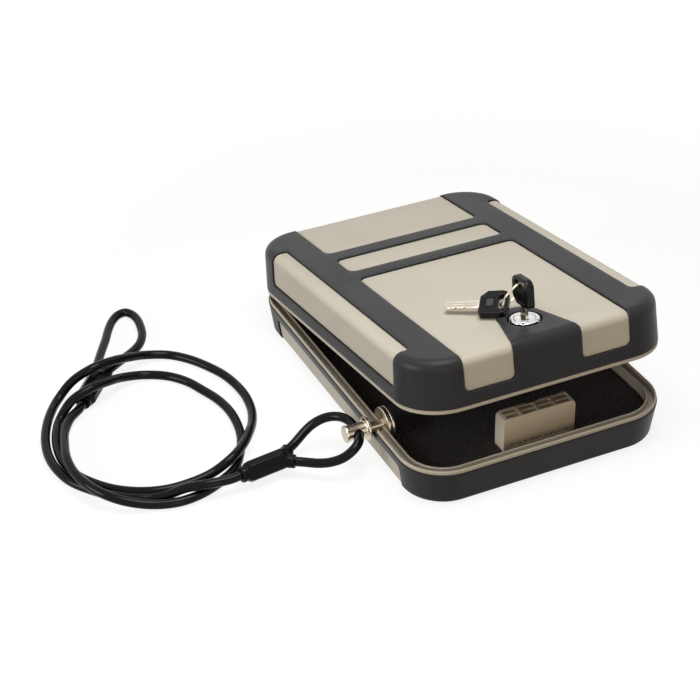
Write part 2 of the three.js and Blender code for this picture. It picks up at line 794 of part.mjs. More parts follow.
function tonguePrism(grow) {
  const shape = new THREE.Shape();
  const front = -boxDepth / 2 - beyond;
  shape.moveTo(-tongueFoldHalf - grow, front);
  shape.lineTo(tongueFoldHalf + grow, front);
  shape.lineTo(tongueFoldHalf + grow, tongueFoldY);
  shape.lineTo(tongueNeckHalf + grow, tongueNeckY);
  const start = Math.asin((tongueNeckY - tongueTipY) / tongueTipRadius);
  for (let step = 1; step < tongueSteps; step += 1) {
    const angle = start + ((Math.PI - 2 * start) * step) / tongueSteps;
    shape.lineTo((tongueTipRadius + grow) * Math.cos(angle),
      tongueTipY + (tongueTipRadius + grow) * Math.sin(angle));
  }
  shape.lineTo(-tongueNeckHalf - grow, tongueNeckY);
  shape.lineTo(-tongueFoldHalf - grow, tongueFoldY);
  return extrudeUp(shape, lidRim, lidTop + beyond);
}

function mainWindow(shrink) {
  return wideWindow(-boxDepth / 2 - beyond, mainWindowRear - shrink, shrink).subtract(tonguePrism(shrink));
}

function rearWindow(shrink) {
  return wideWindow(rearWindowFront + shrink, boxDepth / 2 + beyond, shrink);
}

function nameWindow(shrink) {
  return extrudeUp(roundedRectangle(-namePlateHalf + shrink, namePlateHalf - shrink,
    namePlateFront + shrink, namePlateRear - shrink, windowCorner - shrink), lidTop / 2, lidTop + beyond);
}

const lidWindows = [mainWindow, rearWindow, nameWindow];
const lidPanels = [
  ...sides.map((side) => lidPanelBody.intersect(lidSideWindow(side, panelGap))),
  ...lidWindows.map((window) => lidPanelBody.intersect(window(panelGap))),
];
const lockShellHole = disc(lockBarrelRadius + fitGap, lidHollowTop - 2, lidTop + 1, 0, lockY, 36);
const lidKnuckle = rodAlongX(knuckleRadius, -lidKnuckleHalf, lidKnuckleHalf, hingeY, hingeZ)
  .add(box(-lidKnuckleHalf, lidKnuckleHalf, hingeArmFront, hingeArmRear, hingeZ, lidRim + 1));
piece('lid_shell', 'tan_shell', cutAll(
  joinAll([
    lidBody.add(joinAll(lidPanels)).subtract(lidHollow),
    rib,
    lidKnuckle,
  ]),
  [lockShellHole, hingePinRoom],
), 'lid');

// Lid jacket: rails, crossbars, corner bumpers and the lock tongue in one dark skin.
const lidJacketBottom = stripTop + fitGap;
const lidOuter = lidSkin(0);
const lidJacketInner = lidSkin(jacketThickness);
const lidJacketOuterBody = swept([[lidOuter.atHeight(lidJacketBottom), lidJacketBottom], ...lidOuter.arc]);
const lidJacketInnerBody = swept([
  [lidJacketInner.atHeight(lidJacketBottom - 1), lidJacketBottom - 1],
  ...lidJacketInner.arc,
]);
const lockRecess = disc(lockRecessRadius, lidTop - lockRecessDepth, lidTop + 1, 0, lockY, 36);
const lockJacketHole = disc(lockFaceRadius + fitGap, lidTop / 2, lidTop + 1, 0, lockY, 36);
piece('lid_jacket', 'dark_jacket', cutAll(lidJacketOuterBody, [
  lidJacketInnerBody,
  ...sides.map((side) => lidSideWindow(side, 0)),
  ...lidWindows.map((window) => window(0)),
  lockRecess,
  lockJacketHole,
]), 'lid');

// Lid foam.
const lidFoamSetback = wallInner + lidLean + fitGap;
const lidFoamTop = lidHollowTop - fitGap;
piece('lid_foam', 'black_foam', swept([
  [lidFoamSetback, lidFoamBottom],
  [lidFoamSetback, lidFoamTop - floorFillet],
  [lidFoamSetback + floorFillet, lidFoamTop],
]).subtract(disc(lidFoamLockRadius, lidFoamBottom - 1, lidTop, 0, lockY, 28)), 'lid');

// Lock housing, its nut and the turning plug.
const flangeBottom = lidTop - jacketThickness;
const counterbore = lockFaceTop - plugFaceThickness;
piece('lock_housing', 'chrome', turned([
  [lockBoreRadius, lockBarrelBottom],
  [lockBarrelRadius, lockBarrelBottom],
  [lockBarrelRadius, flangeBottom],
  [lockFaceRadius, flangeBottom],
  [lockFaceRadius, lockFaceTop - fitGap],
  [lockFaceRadius - fitGap, lockFaceTop],
  [plugFaceRadius + fitGap, lockFaceTop],
  [plugFaceRadius + fitGap, counterbore - fitGap],
  [lockBoreRadius, counterbore - fitGap],
  [lockBoreRadius, lockBarrelBottom],
], 0, lockY, 36), 'lid');

const nutTop = lidHollowTop - fitGap;
piece('lock_nut', 'zinc_steel', disc(lockNutRadius, nutTop - lockNutHeight, nutTop, 0, lockY, 6)
  .subtract(disc(lockBarrelRadius + fitGap, lidRim, lidTop, 0, lockY, 28)), 'lid');

const plugBody = turned([
  [0, tailBottom],
  [tailRadius, tailBottom],
  [tailRadius, camTop + fitGap],
  [shoulderRadius, camTop + fitGap],
  [shoulderRadius, camTop + fitGap + shoulderHeight],
  [tailRadius, camTop + fitGap + shoulderHeight],
  [tailRadius, plugBottom],
  [plugRadius, plugBottom],
  [plugRadius, counterbore],
  [plugFaceRadius, counterbore],
  [plugFaceRadius, lockFaceTop],
  [0, lockFaceTop],
], 0, lockY, 32);
const chamber = box(-chamberHalfX, chamberHalfX, lockY - chamberHalfY, lockY + chamberHalfY,
  plugBottom + plugFloor, counterbore - plugFaceThickness);
const keyway = box(-keywayHalfX, keywayHalfX, lockY - keywayHalfY, lockY + keywayHalfY,
  plugBottom + plugFloor, lockFaceTop + 1);
piece('lock_plug', 'chrome', cutAll(plugBody, [chamber, keyway]), 'plug');

for (let wafer = 0; wafer < waferCount; wafer += 1) {
  const z0 = waferLowest + wafer * waferPitch;
  const outer = box(-chamberHalfX + fitGap, chamberHalfX - fitGap, lockY - chamberHalfY + fitGap,
    lockY + chamberHalfY - fitGap, z0, z0 + waferThickness);
  const window = box(-keywayHalfX, keywayHalfX, lockY - keywayHalfY, lockY + keywayHalfY,
    z0 - 1, z0 + waferThickness + 1);
  piece(`lock_wafer_${wafer + 1}`, 'brass', outer.subtract(window), 'plug');
}

const camHub = disc(camHubRadius, camBottom, camTop, 0, lockY, 28);
const camArm = box(0, camReach, lockY - camHalfWidth, lockY + camHalfWidth, camBottom, camTop);
const tailRoom = disc(tailRadius + fitGap, tailBottom - 1, camTop + 1, 0, lockY, 24);
piece('lock_cam', 'zinc_steel', camHub.add(camArm).subtract(tailRoom), 'plug');
const camNutTop = camBottom - fitGap;
piece('cam_nut', 'zinc_steel', disc(camNutRadius, camNutTop - camNutHeight, camNutTop, 0, lockY, 6)
  .subtract(tailRoom), 'plug');

// Keys: a moulded grip with a ring slot and a shallow panel, and a flat blade with a tang held in it.
function keyHeadSolid() {
  const halfLength = keyHeadLength / 2;
  const halfWidth = keyHeadWidth / 2;
  const small = keyHeadCorner / 2;
  const shape = new THREE.Shape();
  shape.moveTo(-halfLength, -halfWidth + small);
  shape.absarc(-halfLength + small, -halfWidth + small, small, Math.PI, Math.PI * 1.5);
  shape.lineTo(halfLength - keyHeadCorner, -halfWidth);
  shape.absarc(halfLength - keyHeadCorner, -halfWidth + keyHeadCorner, keyHeadCorner, -Math.PI / 2, 0);
  shape.lineTo(halfLength, halfWidth - keyHeadCorner);
  shape.absarc(halfLength - keyHeadCorner, halfWidth - keyHeadCorner, keyHeadCorner, 0, Math.PI / 2);
  shape.lineTo(-halfLength + keyHeadTaper, halfWidth);
  shape.lineTo(-halfLength, halfWidth - keyHeadTaper);
  const body = extrudeUp(shape, -keyHeadThickness / 2, keyHeadThickness / 2, 6);
  const slotX = halfLength - keySlotFromEnd;
  const slot = extrudeUp(roundedRectangle(slotX - keySlotWidth / 2, slotX + keySlotWidth / 2,
    -keySlotLength / 2, keySlotLength / 2, keySlotWidth / 2 - 0.2), -keyHeadThickness, keyHeadThickness);
  const panelEnd = slotX - keySlotWidth / 2 - keyPanelMargin / 2;
  const panels = sides.map((side) => {
    const face = (side * keyHeadThickness) / 2;
    const z = [face - side * keyPanelDepth, face + side].sort((a, b) => a - b);
    return box(-halfLength + keyPanelMargin, panelEnd, -halfWidth + keyPanelMargin * 2,
      halfWidth - keyPanelMargin * 2, z[0], z[1]);
  });
  const mortise = box(-halfLength - 1, -halfLength + keyTangLength + fitGap, -keyTangWidth / 2 - fitGap,
    keyTangWidth / 2 + fitGap, -keyBladeThickness / 2 - fitGap, keyBladeThickness / 2 + fitGap);
  return cutAll(body, [slot, ...panels, mortise]);
}

function keyBladeSolid() {
  const root = -keyHeadLength / 2 - fitGap;
  const tip = root + fitGap - keyBladeLength;
  const half = keyBladeWidth / 2;
  const upper = keyCuts.flatMap(([fromTip, depth]) => [
    [tip + fromTip - keyCutHalf, half],
    [tip + fromTip, half - depth],
    [tip + fromTip + keyCutHalf, half],
  ]);
  const lower = [...upper].reverse().map(([x, y]) => [x, -y]);
  const shape = new THREE.Shape();
  shape.moveTo(tip, -half + keyTipTaper);
  shape.lineTo(tip, half - keyTipTaper);
  shape.lineTo(tip + keyTipTaper, half);
  upper.forEach(([x, y]) => shape.lineTo(x, y));
  shape.lineTo(root, half);
  shape.lineTo(root, keyTangWidth / 2);
  shape.lineTo(root + fitGap + keyTangLength, keyTangWidth / 2);
  shape.lineTo(root + fitGap + keyTangLength, -keyTangWidth / 2);
  shape.lineTo(root, -keyTangWidth / 2);
  shape.lineTo(root, -half);
  lower.forEach(([x, y]) => shape.lineTo(x, y));
  shape.lineTo(tip + keyTipTaper, -half);
  return extrudeUp(shape, -keyBladeThickness / 2, keyBladeThickness / 2);
}

['key_a', 'key_b'].forEach((key) => {
  piece(`${key}_head`, 'black_grip', keyHeadSolid(), key);
  piece(`${key}_blade`, 'nickel_steel', keyBladeSolid(), key);
});
piece('key_ring', 'zinc_steel', new THREE.TorusGeometry(ringRadius, ringWireRadius, 8, 40), 'ring');

// Cable: tubes along hand-set routes, met by ferrules that are laid out in their own frame.
function ferruleFrame({ neckEnd, bearing }) {
  const angle = bearing * degrees;
  return {
    origin: new THREE.Vector3(...neckEnd),
    along: new THREE.Vector3(Math.cos(angle), Math.sin(angle), 0),
    across: new THREE.Vector3(-Math.sin(angle), Math.cos(angle), 0),
  };
}

function exitOf(ferrule, { along, across, turn, rise }) {
  const frame = ferruleFrame(ferrule);
  const heading = (ferrule.bearing + turn) * degrees;
  const slope = rise * degrees;
  const direction = new THREE.Vector3(Math.cos(heading) * Math.cos(slope),
    Math.sin(heading) * Math.cos(slope), Math.sin(slope));
  const point = frame.origin.clone()
    .addScaledVector(frame.along, along)
    .addScaledVector(frame.across, across);
  return { point, direction };
}

function cylinderBetween(from, to, radius, segments) {
  const length = from.distanceTo(to);
  const geometry = new THREE.CylinderGeometry(radius, radius, length, segments);
  const direction = to.clone().sub(from).normalize();
  geometry.applyQuaternion(new THREE.Quaternion().setFromUnitVectors(new THREE.Vector3(0, 1, 0), direction));
  const middle = from.clone().add(to).multiplyScalar(0.5);
  geometry.translate(middle.x, middle.y, middle.z);
  return solidFrom(geometry);
}

function ferruleSolid(ferrule) {
  const frame = ferruleFrame(ferrule);
  const octagonTurn = Math.PI / 8;
  const corner = ferruleBodyHalf / Math.cos(octagonTurn);
  const bodyEnd = ferruleNeckLength + ferruleBodyLength;
  const profile = [
    [0, ferruleNeckLength],
    [corner - ferruleChamfer, ferruleNeckLength],
    [corner, ferruleNeckLength + ferruleChamfer],
    [corner, bodyEnd - ferruleChamfer],
    [corner - ferruleChamfer, bodyEnd],
    [0, bodyEnd],
  ].map(([radius, along]) => new THREE.Vector2(radius, along));
  const body = new THREE.LatheGeometry(profile, 8);
  body.rotateY(octagonTurn);
  body.applyQuaternion(new THREE.Quaternion().setFromUnitVectors(new THREE.Vector3(0, 1, 0), frame.along));
  body.translate(...ferrule.neckEnd);
  const neckInside = frame.origin.clone()
    .addScaledVector(frame.along, ferruleNeckLength + ferruleChamfer * 2);
  const neck = cylinderBetween(frame.origin, neckInside, ferruleNeckRadius, 16);
  const sleeves = ferrule.exits.map((exit) => {
    const { point, direction } = exitOf(ferrule, exit);
    return cylinderBetween(point.clone().addScaledVector(direction, -ferruleSleeveLength), point,
      ferruleSleeveRadius, 16);
  });
  return joinAll([solidFrom(body), neck, ...sleeves]);
}

function straightEnd(point, direction) {
  return [fitGap, fitGap + endStraight].map((distance) => point.clone().addScaledVector(direction, distance));
}

function neckStart(ferrule) {
  const frame = ferruleFrame(ferrule);
  return straightEnd(frame.origin, frame.along.clone().negate());
}

function exitStart(ferrule, exit) {
  const { point, direction } = exitOf(ferrule, exit);
  return straightEnd(point, direction);
}

function cableTube(startPair, route, endPair, steps) {
  const points = [...startPair, ...route.map((point) => new THREE.Vector3(...point)), ...endPair.reverse()];
  const path = new THREE.CatmullRomCurve3(points, false, 'centripetal');
  const section = new THREE.Shape();
  for (let side = 0; side < cableSides; side += 1) {
    const angle = (2 * Math.PI * (side + 0.5)) / cableSides;
    section[side ? 'lineTo' : 'moveTo'](cableRadius * Math.cos(angle), cableRadius * Math.sin(angle));
  }
  const geometry = new THREE.ExtrudeGeometry(section, { steps, bevelEnabled: false, extrudePath: path });
  return { path, geometry };
}

// Least distance between the tube's surface and itself, away from neighbouring stretches.
function selfGap(path) {
  const spacing = 2;
  const length = path.getLength();
  const points = path.getSpacedPoints(Math.round(length / spacing));
  const apart = Math.round((cableRadius * 8) / spacing);
  let least = Infinity;
  points.forEach((point, first) => {
    for (let second = first + apart; second < points.length; second += 1) {
      least = Math.min(least, point.distanceTo(points[second]) - 2 * cableRadius);
    }
  });
  return { least, length };
}

const run = cableTube(neckStart(ferruleA), runRoute, neckStart(ferruleB), runSteps);
const pinEye = cableTube(exitStart(ferruleA, ferruleA.exits[0]), pinEyeRoute,
  exitStart(ferruleA, ferruleA.exits[1]), pinEyeSteps);
const endEye = cableTube(exitStart(ferruleB, ferruleB.exits[0]), endEyeRoute,
  exitStart(ferruleB, ferruleB.exits[1]), endEyeSteps);
Object.entries({ cable_run: run, pin_eye: pinEye, end_eye: endEye }).forEach(([name, { path, geometry }]) => {
  const { least, length } = selfGap(path);
  piece(name, 'black_vinyl', geometry, 'cable');
  console.log(`${name}: length ${length.toFixed(1)} mm, least gap to itself ${least.toFixed(2)} mm`);
  if (least < leastCableGap) {
    throw new Error(`${name} comes closer to itself than ${leastCableGap} mm`);
  }
});
piece('ferrule_a', 'black_vinyl', ferruleSolid(ferruleA), 'cable');
piece('ferrule_b', 'black_vinyl', ferruleSolid(ferruleB), 'cable');

// Assembly: the lid group turns about the hinge and carries the lock and the keys.
const root = new THREE.Group();
root.name = 'portable_car_safe';
const lidGroup = new THREE.Group();
lidGroup.position.set(0, hingeY, hingeZ);
lidGroup.rotation.x = -hingeOpenDegrees * degrees;
const lidShift = new THREE.Group();
lidShift.position.set(0, -hingeY, -hingeZ);
const fromLock = ([x, y, z]) => [x, lockY + y, z];
const plugGroup = new THREE.Group();
const keyAGroup = new THREE.Group();
keyAGroup.position.set(0, lockY, keyAHeadBottom + keyHeadLength / 2);
keyAGroup.rotation.y = -Math.PI / 2;
const ringGroup = new THREE.Group();
ringGroup.position.set(...fromLock(ringFromLock));
ringGroup.quaternion.setFromUnitVectors(
  new THREE.Vector3(0, 0, 1),
  new THREE.Vector3(...ringNormal).normalize(),
);
const keyBGroup = new THREE.Group();
keyBGroup.position.set(...fromLock(keyBFromLock));
keyBGroup.rotation.set(...keyBTurns.map((turn) => turn * degrees), 'ZYX');
const cableGroup = new THREE.Group();
cableGroup.position.set(-boxWidth / 2, pinY, 0);
const groups = {
  base: root,
  cable: cableGroup,
  lid: lidShift,
  plug: plugGroup,
  key_a: keyAGroup,
  ring: ringGroup,
  key_b: keyBGroup,
};
root.add(lidGroup, cableGroup);
lidGroup.add(lidShift);
lidShift.add(plugGroup, keyAGroup, ringGroup, keyBGroup);
pieces.forEach(([mesh, group]) => groups[group].add(mesh));

export default root;
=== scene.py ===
import math

import bmesh
import bpy
import numpy as np
from bpy.props import FloatProperty, FloatVectorProperty, PointerProperty
from mathutils import Euler, Matrix, Vector
from mathutils.geometry import delaunay_2d_cdt


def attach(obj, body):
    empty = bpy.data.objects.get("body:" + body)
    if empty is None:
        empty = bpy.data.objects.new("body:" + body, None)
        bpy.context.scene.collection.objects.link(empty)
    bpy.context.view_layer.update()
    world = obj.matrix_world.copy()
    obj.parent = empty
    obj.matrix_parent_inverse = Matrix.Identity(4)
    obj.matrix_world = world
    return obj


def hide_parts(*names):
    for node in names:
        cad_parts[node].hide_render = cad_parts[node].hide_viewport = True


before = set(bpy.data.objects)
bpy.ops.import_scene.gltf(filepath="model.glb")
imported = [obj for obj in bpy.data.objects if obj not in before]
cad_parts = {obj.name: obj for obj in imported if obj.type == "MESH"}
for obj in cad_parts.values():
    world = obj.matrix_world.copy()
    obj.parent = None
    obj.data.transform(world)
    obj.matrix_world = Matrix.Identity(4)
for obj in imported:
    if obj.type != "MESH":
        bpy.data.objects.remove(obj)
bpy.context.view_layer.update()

bl_info = {
    "name": "Portable Car Safe",
    "version": (1, 0, 0),
    "blender": (4, 5, 0),
    "location": "View3D > Sidebar > Car Safe",
    "description": "Smooth pieces and finishes over the packed solids of a portable car safe",
    "category": "Add Mesh",
}

# The functions below work in millimetres, and meshes are stored in metres.
MM = 0.001

# Plan and skin of the box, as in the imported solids.
WIDTH = 178.0
DEPTH = 254.0
CORNER = 30.2
BASE_TOP = 23.0
BASE_LEAN = 2.7
BASE_EDGE = 3.6
LID_RIM = 26.3
LID_TOP = 59.4
LID_LEAN = 1.3
LID_EDGE = 6.4
LID_SHOULDER = LID_TOP - LID_EDGE
STRIP_TOP = 28.9
JACKET = 1.6
BODY_DEPTH = 1.9
PANEL_DEPTH = 0.9
HINGE_Y = 125.5
HINGE_Z = 20.27
OPEN_TURN = -math.radians(8.86)
LOCK_Y = -98.0
PIN_Y = -59.5
PIN_Z = 23.0

# Notch in the rim round the pin: half its width, and its floor.
PIN_NOTCH = 7.6
PIN_NOTCH_LOW = 18.9

# Hinge: its line as (y, z), a knuckle's radius, and half the gap between the outer knuckles.
HINGE = (HINGE_Y, HINGE_Z)
KNUCKLE = 2.9
KNUCKLE_GAP = 30.45

# Windows: the spacing of their points, the lower edge of the lid's, and the lock tongue's radius.
WINDOW_PITCH = 1.4
LID_WINDOW_LOW = 37.2
TONGUE_RADIUS = 14.5

# Meshing: how far inner points stay from a loop, and in metres, the merging distance and a sliver's size.
CLEAR_OF_EDGE = 0.55
MERGE_WITHIN = 2e-6
SLIVER_BELOW = 1e-7
NO_POINTS = np.empty((0, 2))


# Arrays, loops and profiles.

def lid_turn(points):
    """Closed lid to opened lid: each point turns about the hinge's X axis by the opening angle."""
    y = points[:, 1] - HINGE_Y
    z = points[:, 2] - HINGE_Z
    cosine = math.cos(OPEN_TURN)
    sine = math.sin(OPEN_TURN)
    return np.column_stack([points[:, 0], HINGE_Y + y * cosine - z * sine, HINGE_Z + y * sine + z * cosine])


def stay(points):
    """Points that ride on the base stay where they are."""
    return points


def rounded(corners, radii, pitch=None, arc_pitch=0.5, closed=True):
    """Polyline with rounded corners. Each corner is cut back by the radius over the tangent of half its
    angle, an arc of the radius joins the two cuts, and straight stretches are divided no longer than the
    pitch."""
    corners = np.asarray(corners, float)
    radii = np.broadcast_to(np.asarray(radii, float), len(corners))
    before = np.roll(corners, 1, axis=0) - corners
    after = np.roll(corners, -1, axis=0) - corners
    parts = []
    for here, back, on, radius, place in zip(corners, before, after, radii, range(len(corners))):
        end = not closed and place in (0, len(corners) - 1)
        if end or radius <= 0:
            parts.append(here[None])
            continue
        back = back / np.hypot(*back)
        on = on / np.hypot(*on)
        half = math.acos(np.clip(back @ on, -1, 1)) / 2
        cut = radius / math.tan(half)
        middle = (back + on) / np.hypot(*(back + on))
        centre = here + middle * radius / math.sin(half)
        start = here + back * cut - centre
        stop = here + on * cut - centre
        first = math.atan2(start[1], start[0])
        sweep = (math.atan2(stop[1], stop[0]) - first + math.pi) % (2 * math.pi) - math.pi
        steps = max(3, math.ceil(abs(sweep) * radius / arc_pitch))
        angle = first + sweep * np.linspace(0, 1, steps + 1)
        parts.append(centre + radius * np.column_stack([np.cos(angle), np.sin(angle)]))
    if pitch is None:
        return np.concatenate(parts)
    filled = []
    count = len(parts)
    for place, part in enumerate(parts):
        filled.append(part)
        if not closed and place == count - 1:
            break
        gap = parts[(place + 1) % count][0] - part[-1]
        steps = max(1, math.ceil(np.hypot(*gap) / pitch))
        share = np.arange(1, steps)[:, None] / steps
        filled.append(part[-1] + gap * share)
    return np.concatenate(filled)


def rectangle(x0, x1, y0, y1):
    """Corners of a rectangle, counter-clockwise from the lower left."""
    return [(x0, y0), (x1, y0), (x1, y1), (x0, y1)]


def circle(radius, x, y, pitch=0.6):
    """Circle of points, counter-clockwise, spaced no wider than the pitch."""
    count = max(24, math.ceil(2 * math.pi * radius / pitch))
    angle = np.linspace(0, 2 * math.pi, count, endpoint=False)
    return np.column_stack([x + radius * np.cos(angle), y + radius * np.sin(angle)])


def shifted(loop, distance):
    """Loop moved to its left by a distance: each point goes along the sum of its two edge normals, scaled so
    that both edges move by the same distance."""
    edge = np.roll(loop, -1, axis=0) - loop
    edge /= np.maximum(np.hypot(edge[:, 0], edge[:, 1]), 1e-9)[:, None]
    normal = np.column_stack([-edge[:, 1], edge[:, 0]])
    both = normal + np.roll(normal, 1, axis=0)
    return loop + both * (2 * distance / np.maximum((both ** 2).sum(1), 0.2))[:, None]


def base_skin(depth, top=BASE_TOP):
    """Profile of the base's outside as (setback, z): an arc from the flat bottom, then the leaning side."""
    angle = np.linspace(0, math.pi / 2, 11)
    radius = BASE_EDGE - depth
    arc = np.column_stack([
        BASE_LEAN + BASE_EDGE - radius * np.sin(angle),
        BASE_EDGE - radius * np.cos(angle),
    ])
    side = [[depth + BASE_LEAN * (BASE_TOP - top) / (BASE_TOP - BASE_EDGE), top]]
    return np.vstack([arc, side])


def lid_skin(depth, bottom):
    """Profile of the lid's outside as (setback, z): an arc from the flat top, then the leaning side down."""
    angle = np.linspace(math.pi / 2, 0, 15)
    radius = LID_EDGE - depth
    arc = np.column_stack([
        LID_LEAN + LID_EDGE - radius * np.cos(angle),
        LID_SHOULDER + radius * np.sin(angle),
    ])
    side = [[depth + LID_LEAN * (bottom - LID_RIM) / (LID_SHOULDER - LID_RIM), bottom]]
    return np.vstack([arc, side])


class Skin:
    """Chart of a box skin. Inside a rounded rectangle the surface is flat, and beyond it the distance from
    that rectangle runs along the skin's profile, so a plane pattern folds over the edge and down the side."""

    def __init__(self, profile, up):
        step = np.diff(profile, axis=0) * (-1, 1)
        length = np.hypot(step[:, 0], step[:, 1])
        step /= length[:, None]
        normal = up * np.column_stack([-step[:, 1], step[:, 0]])
        ends = np.vstack([[0, up], normal[:-1] + normal[1:], normal[-1:]])
        self.normal = ends / np.hypot(ends[:, 0], ends[:, 1])[:, None]
        self.profile = profile
        self.run = np.concatenate([[0], np.cumsum(length)])
        self.half_x = WIDTH / 2 - profile[0, 0]
        self.half_y = DEPTH / 2 - profile[0, 0]
        self.corner = CORNER - profile[0, 0]

    def at_height(self, z):
        """Distance along the profile at which the side reaches a height."""
        order = np.argsort(self.profile[:, 1])
        return float(np.interp(z, self.profile[order, 1], self.run[order]))

    def at_setback(self, setback):
        """Distance along the profile at which the skin has a setback from the box's plan."""
        return float(np.interp(-setback, -self.profile[:, 0], self.run))

    def loop(self, distance, pitch):
        """Line of equal distance round the flat part, counter-clockwise."""
        x = self.half_x + distance
        y = self.half_y + distance
        return rounded(rectangle(-x, x, -y, y), self.corner + distance, pitch, pitch)

    def place(self, points, depth):
        """Chart points to space: foot on the flat part's edge, plus the outward run, less the depth."""
        beyond = np.maximum(np.abs(points) - (self.half_x - self.corner, self.half_y - self.corner), 0)
        reach = np.hypot(beyond[:, 0], beyond[:, 1])
        distance = np.maximum(reach - self.corner, 0)
        away = np.sign(points) * beyond / np.maximum(reach, 1e-9)[:, None]
        foot = points - away * distance[:, None]
        setback = np.interp(distance, self.run, self.profile[:, 0])
        height = np.interp(distance, self.run, self.profile[:, 1])
        outward = np.interp(distance, self.run, self.normal[:, 0])
        upward = np.interp(distance, self.run, self.normal[:, 1])
        size = np.hypot(outward, upward)
        out = self.profile[0, 0] - setback - depth * outward / size
        return np.column_stack([foot + away * out[:, None], height - depth * upward / size])


class Flat:
    """Chart of a level face at a height, with depth counted down from it, or up where it faces the floor."""

    def __init__(self, z, up=1):
        self.z = z
        self.up = up

    def place(self, points, depth):
        """Chart points to space at the level of the face, less the depth."""
        return np.column_stack([points, self.z - self.up * depth])


def grid(x0, x1, y0, y1, pitch):
    """Even grid of chart points over a rectangle."""
    x = np.linspace(x0, x1, max(2, round((x1 - x0) / pitch) + 1))
    y = np.linspace(y0, y1, max(2, round((y1 - y0) / pitch) + 1))
    return np.stack(np.meshgrid(x, y), axis=-1).reshape(-1, 2)


def inside(points, loops):
    """True where a point is inside an odd number of loops: a ray along X crosses their edges an odd number of
    times."""
    start = np.concatenate(loops)
    stop = np.concatenate([np.roll(loop, -1, axis=0) for loop in loops])
    found = np.zeros(len(points), bool)
    for part in np.array_split(np.arange(len(points)), max(1, len(points) // 2000)):
        x = points[part, 0][:, None]
        y = points[part, 1][:, None]
        spans = (start[:, 1] > y) != (stop[:, 1] > y)
        rise = np.where(np.abs(stop[:, 1] - start[:, 1]) < 1e-12, 1, stop[:, 1] - start[:, 1])
        cross = start[:, 0] + (y - start[:, 1]) * (stop[:, 0] - start[:, 0]) / rise
        found[part] = (spans & (x < cross)).sum(1) % 2 == 1
    return found


def clear_of(points, loops, clearance):
    """Points that stay further than a clearance from every point of the loops."""
    edge = np.concatenate(loops)
    keep = np.ones(len(points), bool)
    for part in np.array_split(np.arange(len(points)), max(1, len(points) // 1000)):
        gap = points[part, None, :] - edge[None]
        keep[part] = (gap ** 2).sum(2).min(1) > clearance ** 2
    return points[keep]


def triangles_between(loops, inner):
    """Triangles of the plane between loops, with inner points taken in, as rows of point numbers counted
    through the loops and then the inner points."""
    points = np.concatenate([*loops, inner])
    edges = []
    first = 0
    for loop in loops:
        number = first + np.arange(len(loop))
        edges += np.column_stack([number, np.roll(number, -1)]).tolist()
        first += len(loop)
    vectors = [Vector(point) for point in points.tolist()]
    _, _, faces, source, _, _ = delaunay_2d_cdt(vectors, edges, [], 0, 1e-6, True)
    if any(not numbers for numbers in source):
        raise RuntimeError("a pattern's loops cross each other")
    number = np.array([numbers[0] for numbers in source])
    faces = number[np.array([face for face in faces if len(face) == 3])]
    return faces[inside(points[faces].mean(1), loops)]


def edge_steps(top, bottom, depth, start=0.0, steps=4):
    """Rounded rim of a slab as (inset, depth) rows: a quarter turn of radius top, a straight wall, and a
    quarter turn of radius bottom. A radius of 0 leaves one row."""
    turn = np.linspace(0, math.pi / 2, steps + 1)
    upper = np.column_stack([top * (1 - np.sin(turn)), start + top * (1 - np.cos(turn))])
    lower = np.column_stack([bottom * (1 - np.cos(turn)), depth - bottom * (1 - np.sin(turn))])
    return np.vstack([upper if top else upper[:1], lower if bottom else lower[:1]])


def slab(loops, rim, chart, inner=NO_POINTS, turn=stay, wave=stay):
    """Closed slab over a chart: the loops are carried through the rim's (inset, depth) rows as a wall, and
    both faces are filled between the first and the last row. The outer loop runs counter-clockwise, holes
    clockwise."""
    counts = [len(loop) for loop in loops]
    total = sum(counts)
    rows = [np.concatenate([shifted(loop, inset) for loop in loops]) for inset, _ in rim]
    starts = np.cumsum([0, *counts])
    top = [rows[0][a:b] for a, b in zip(starts, starts[1:])]
    inner = clear_of(inner[inside(inner, top)], top, CLEAR_OF_EDGE)
    cap = triangles_between(top, inner)
    number = np.arange(total)
    following = np.concatenate([a + (np.arange(n) + 1) % n for a, n in zip(starts, counts)])
    row = np.arange(len(rim) - 1)[:, None] * total
    quads = np.stack([row + number, row + total + number, row + total + following, row + following], axis=-1)
    last = (len(rim) - 1) * total
    depth = np.concatenate([np.repeat(rim[:, 1], total), np.repeat(rim[[0, -1], 1], len(inner))])
    points = chart.place(np.vstack([*rows, inner, inner]), depth)
    upper = cap + last * (cap >= total)
    lower = cap + last + len(inner) * (cap >= total)
    return turn(wave(points)), [quads.reshape(-1, 4), upper, lower[:, ::-1]]


def ring_quads(rows, count, closed=False):
    """Quads between neighbouring rows of a grid whose rows are rings of count points. A closed grid has quads
    from its last row to its first too."""
    row = np.arange(rows if closed else rows - 1)[:, None]
    after = (row + 1) % rows
    across = np.arange(count)
    following = (across + 1) % count
    near = row * count
    far = after * count
    return np.stack([near + across, near + following, far + following, far + across], axis=-1).reshape(-1, 4)


def plan_ring(setback):
    """Rounded rectangle of the plan at a setback, with 15 points round each corner."""
    start = np.array([[-90.0], [0.0], [90.0], [180.0]])
    angle = np.radians(start + np.linspace(0, 90, 15)).ravel()
    side = np.repeat([[1, -1], [1, 1], [-1, 1], [-1, -1]], 15, axis=0)
    radius = max(CORNER - setback, 0.05)
    middle = side * (WIDTH / 2 - setback - radius, DEPTH / 2 - setback - radius)
    return middle + radius * np.column_stack([np.cos(angle), np.sin(angle)])


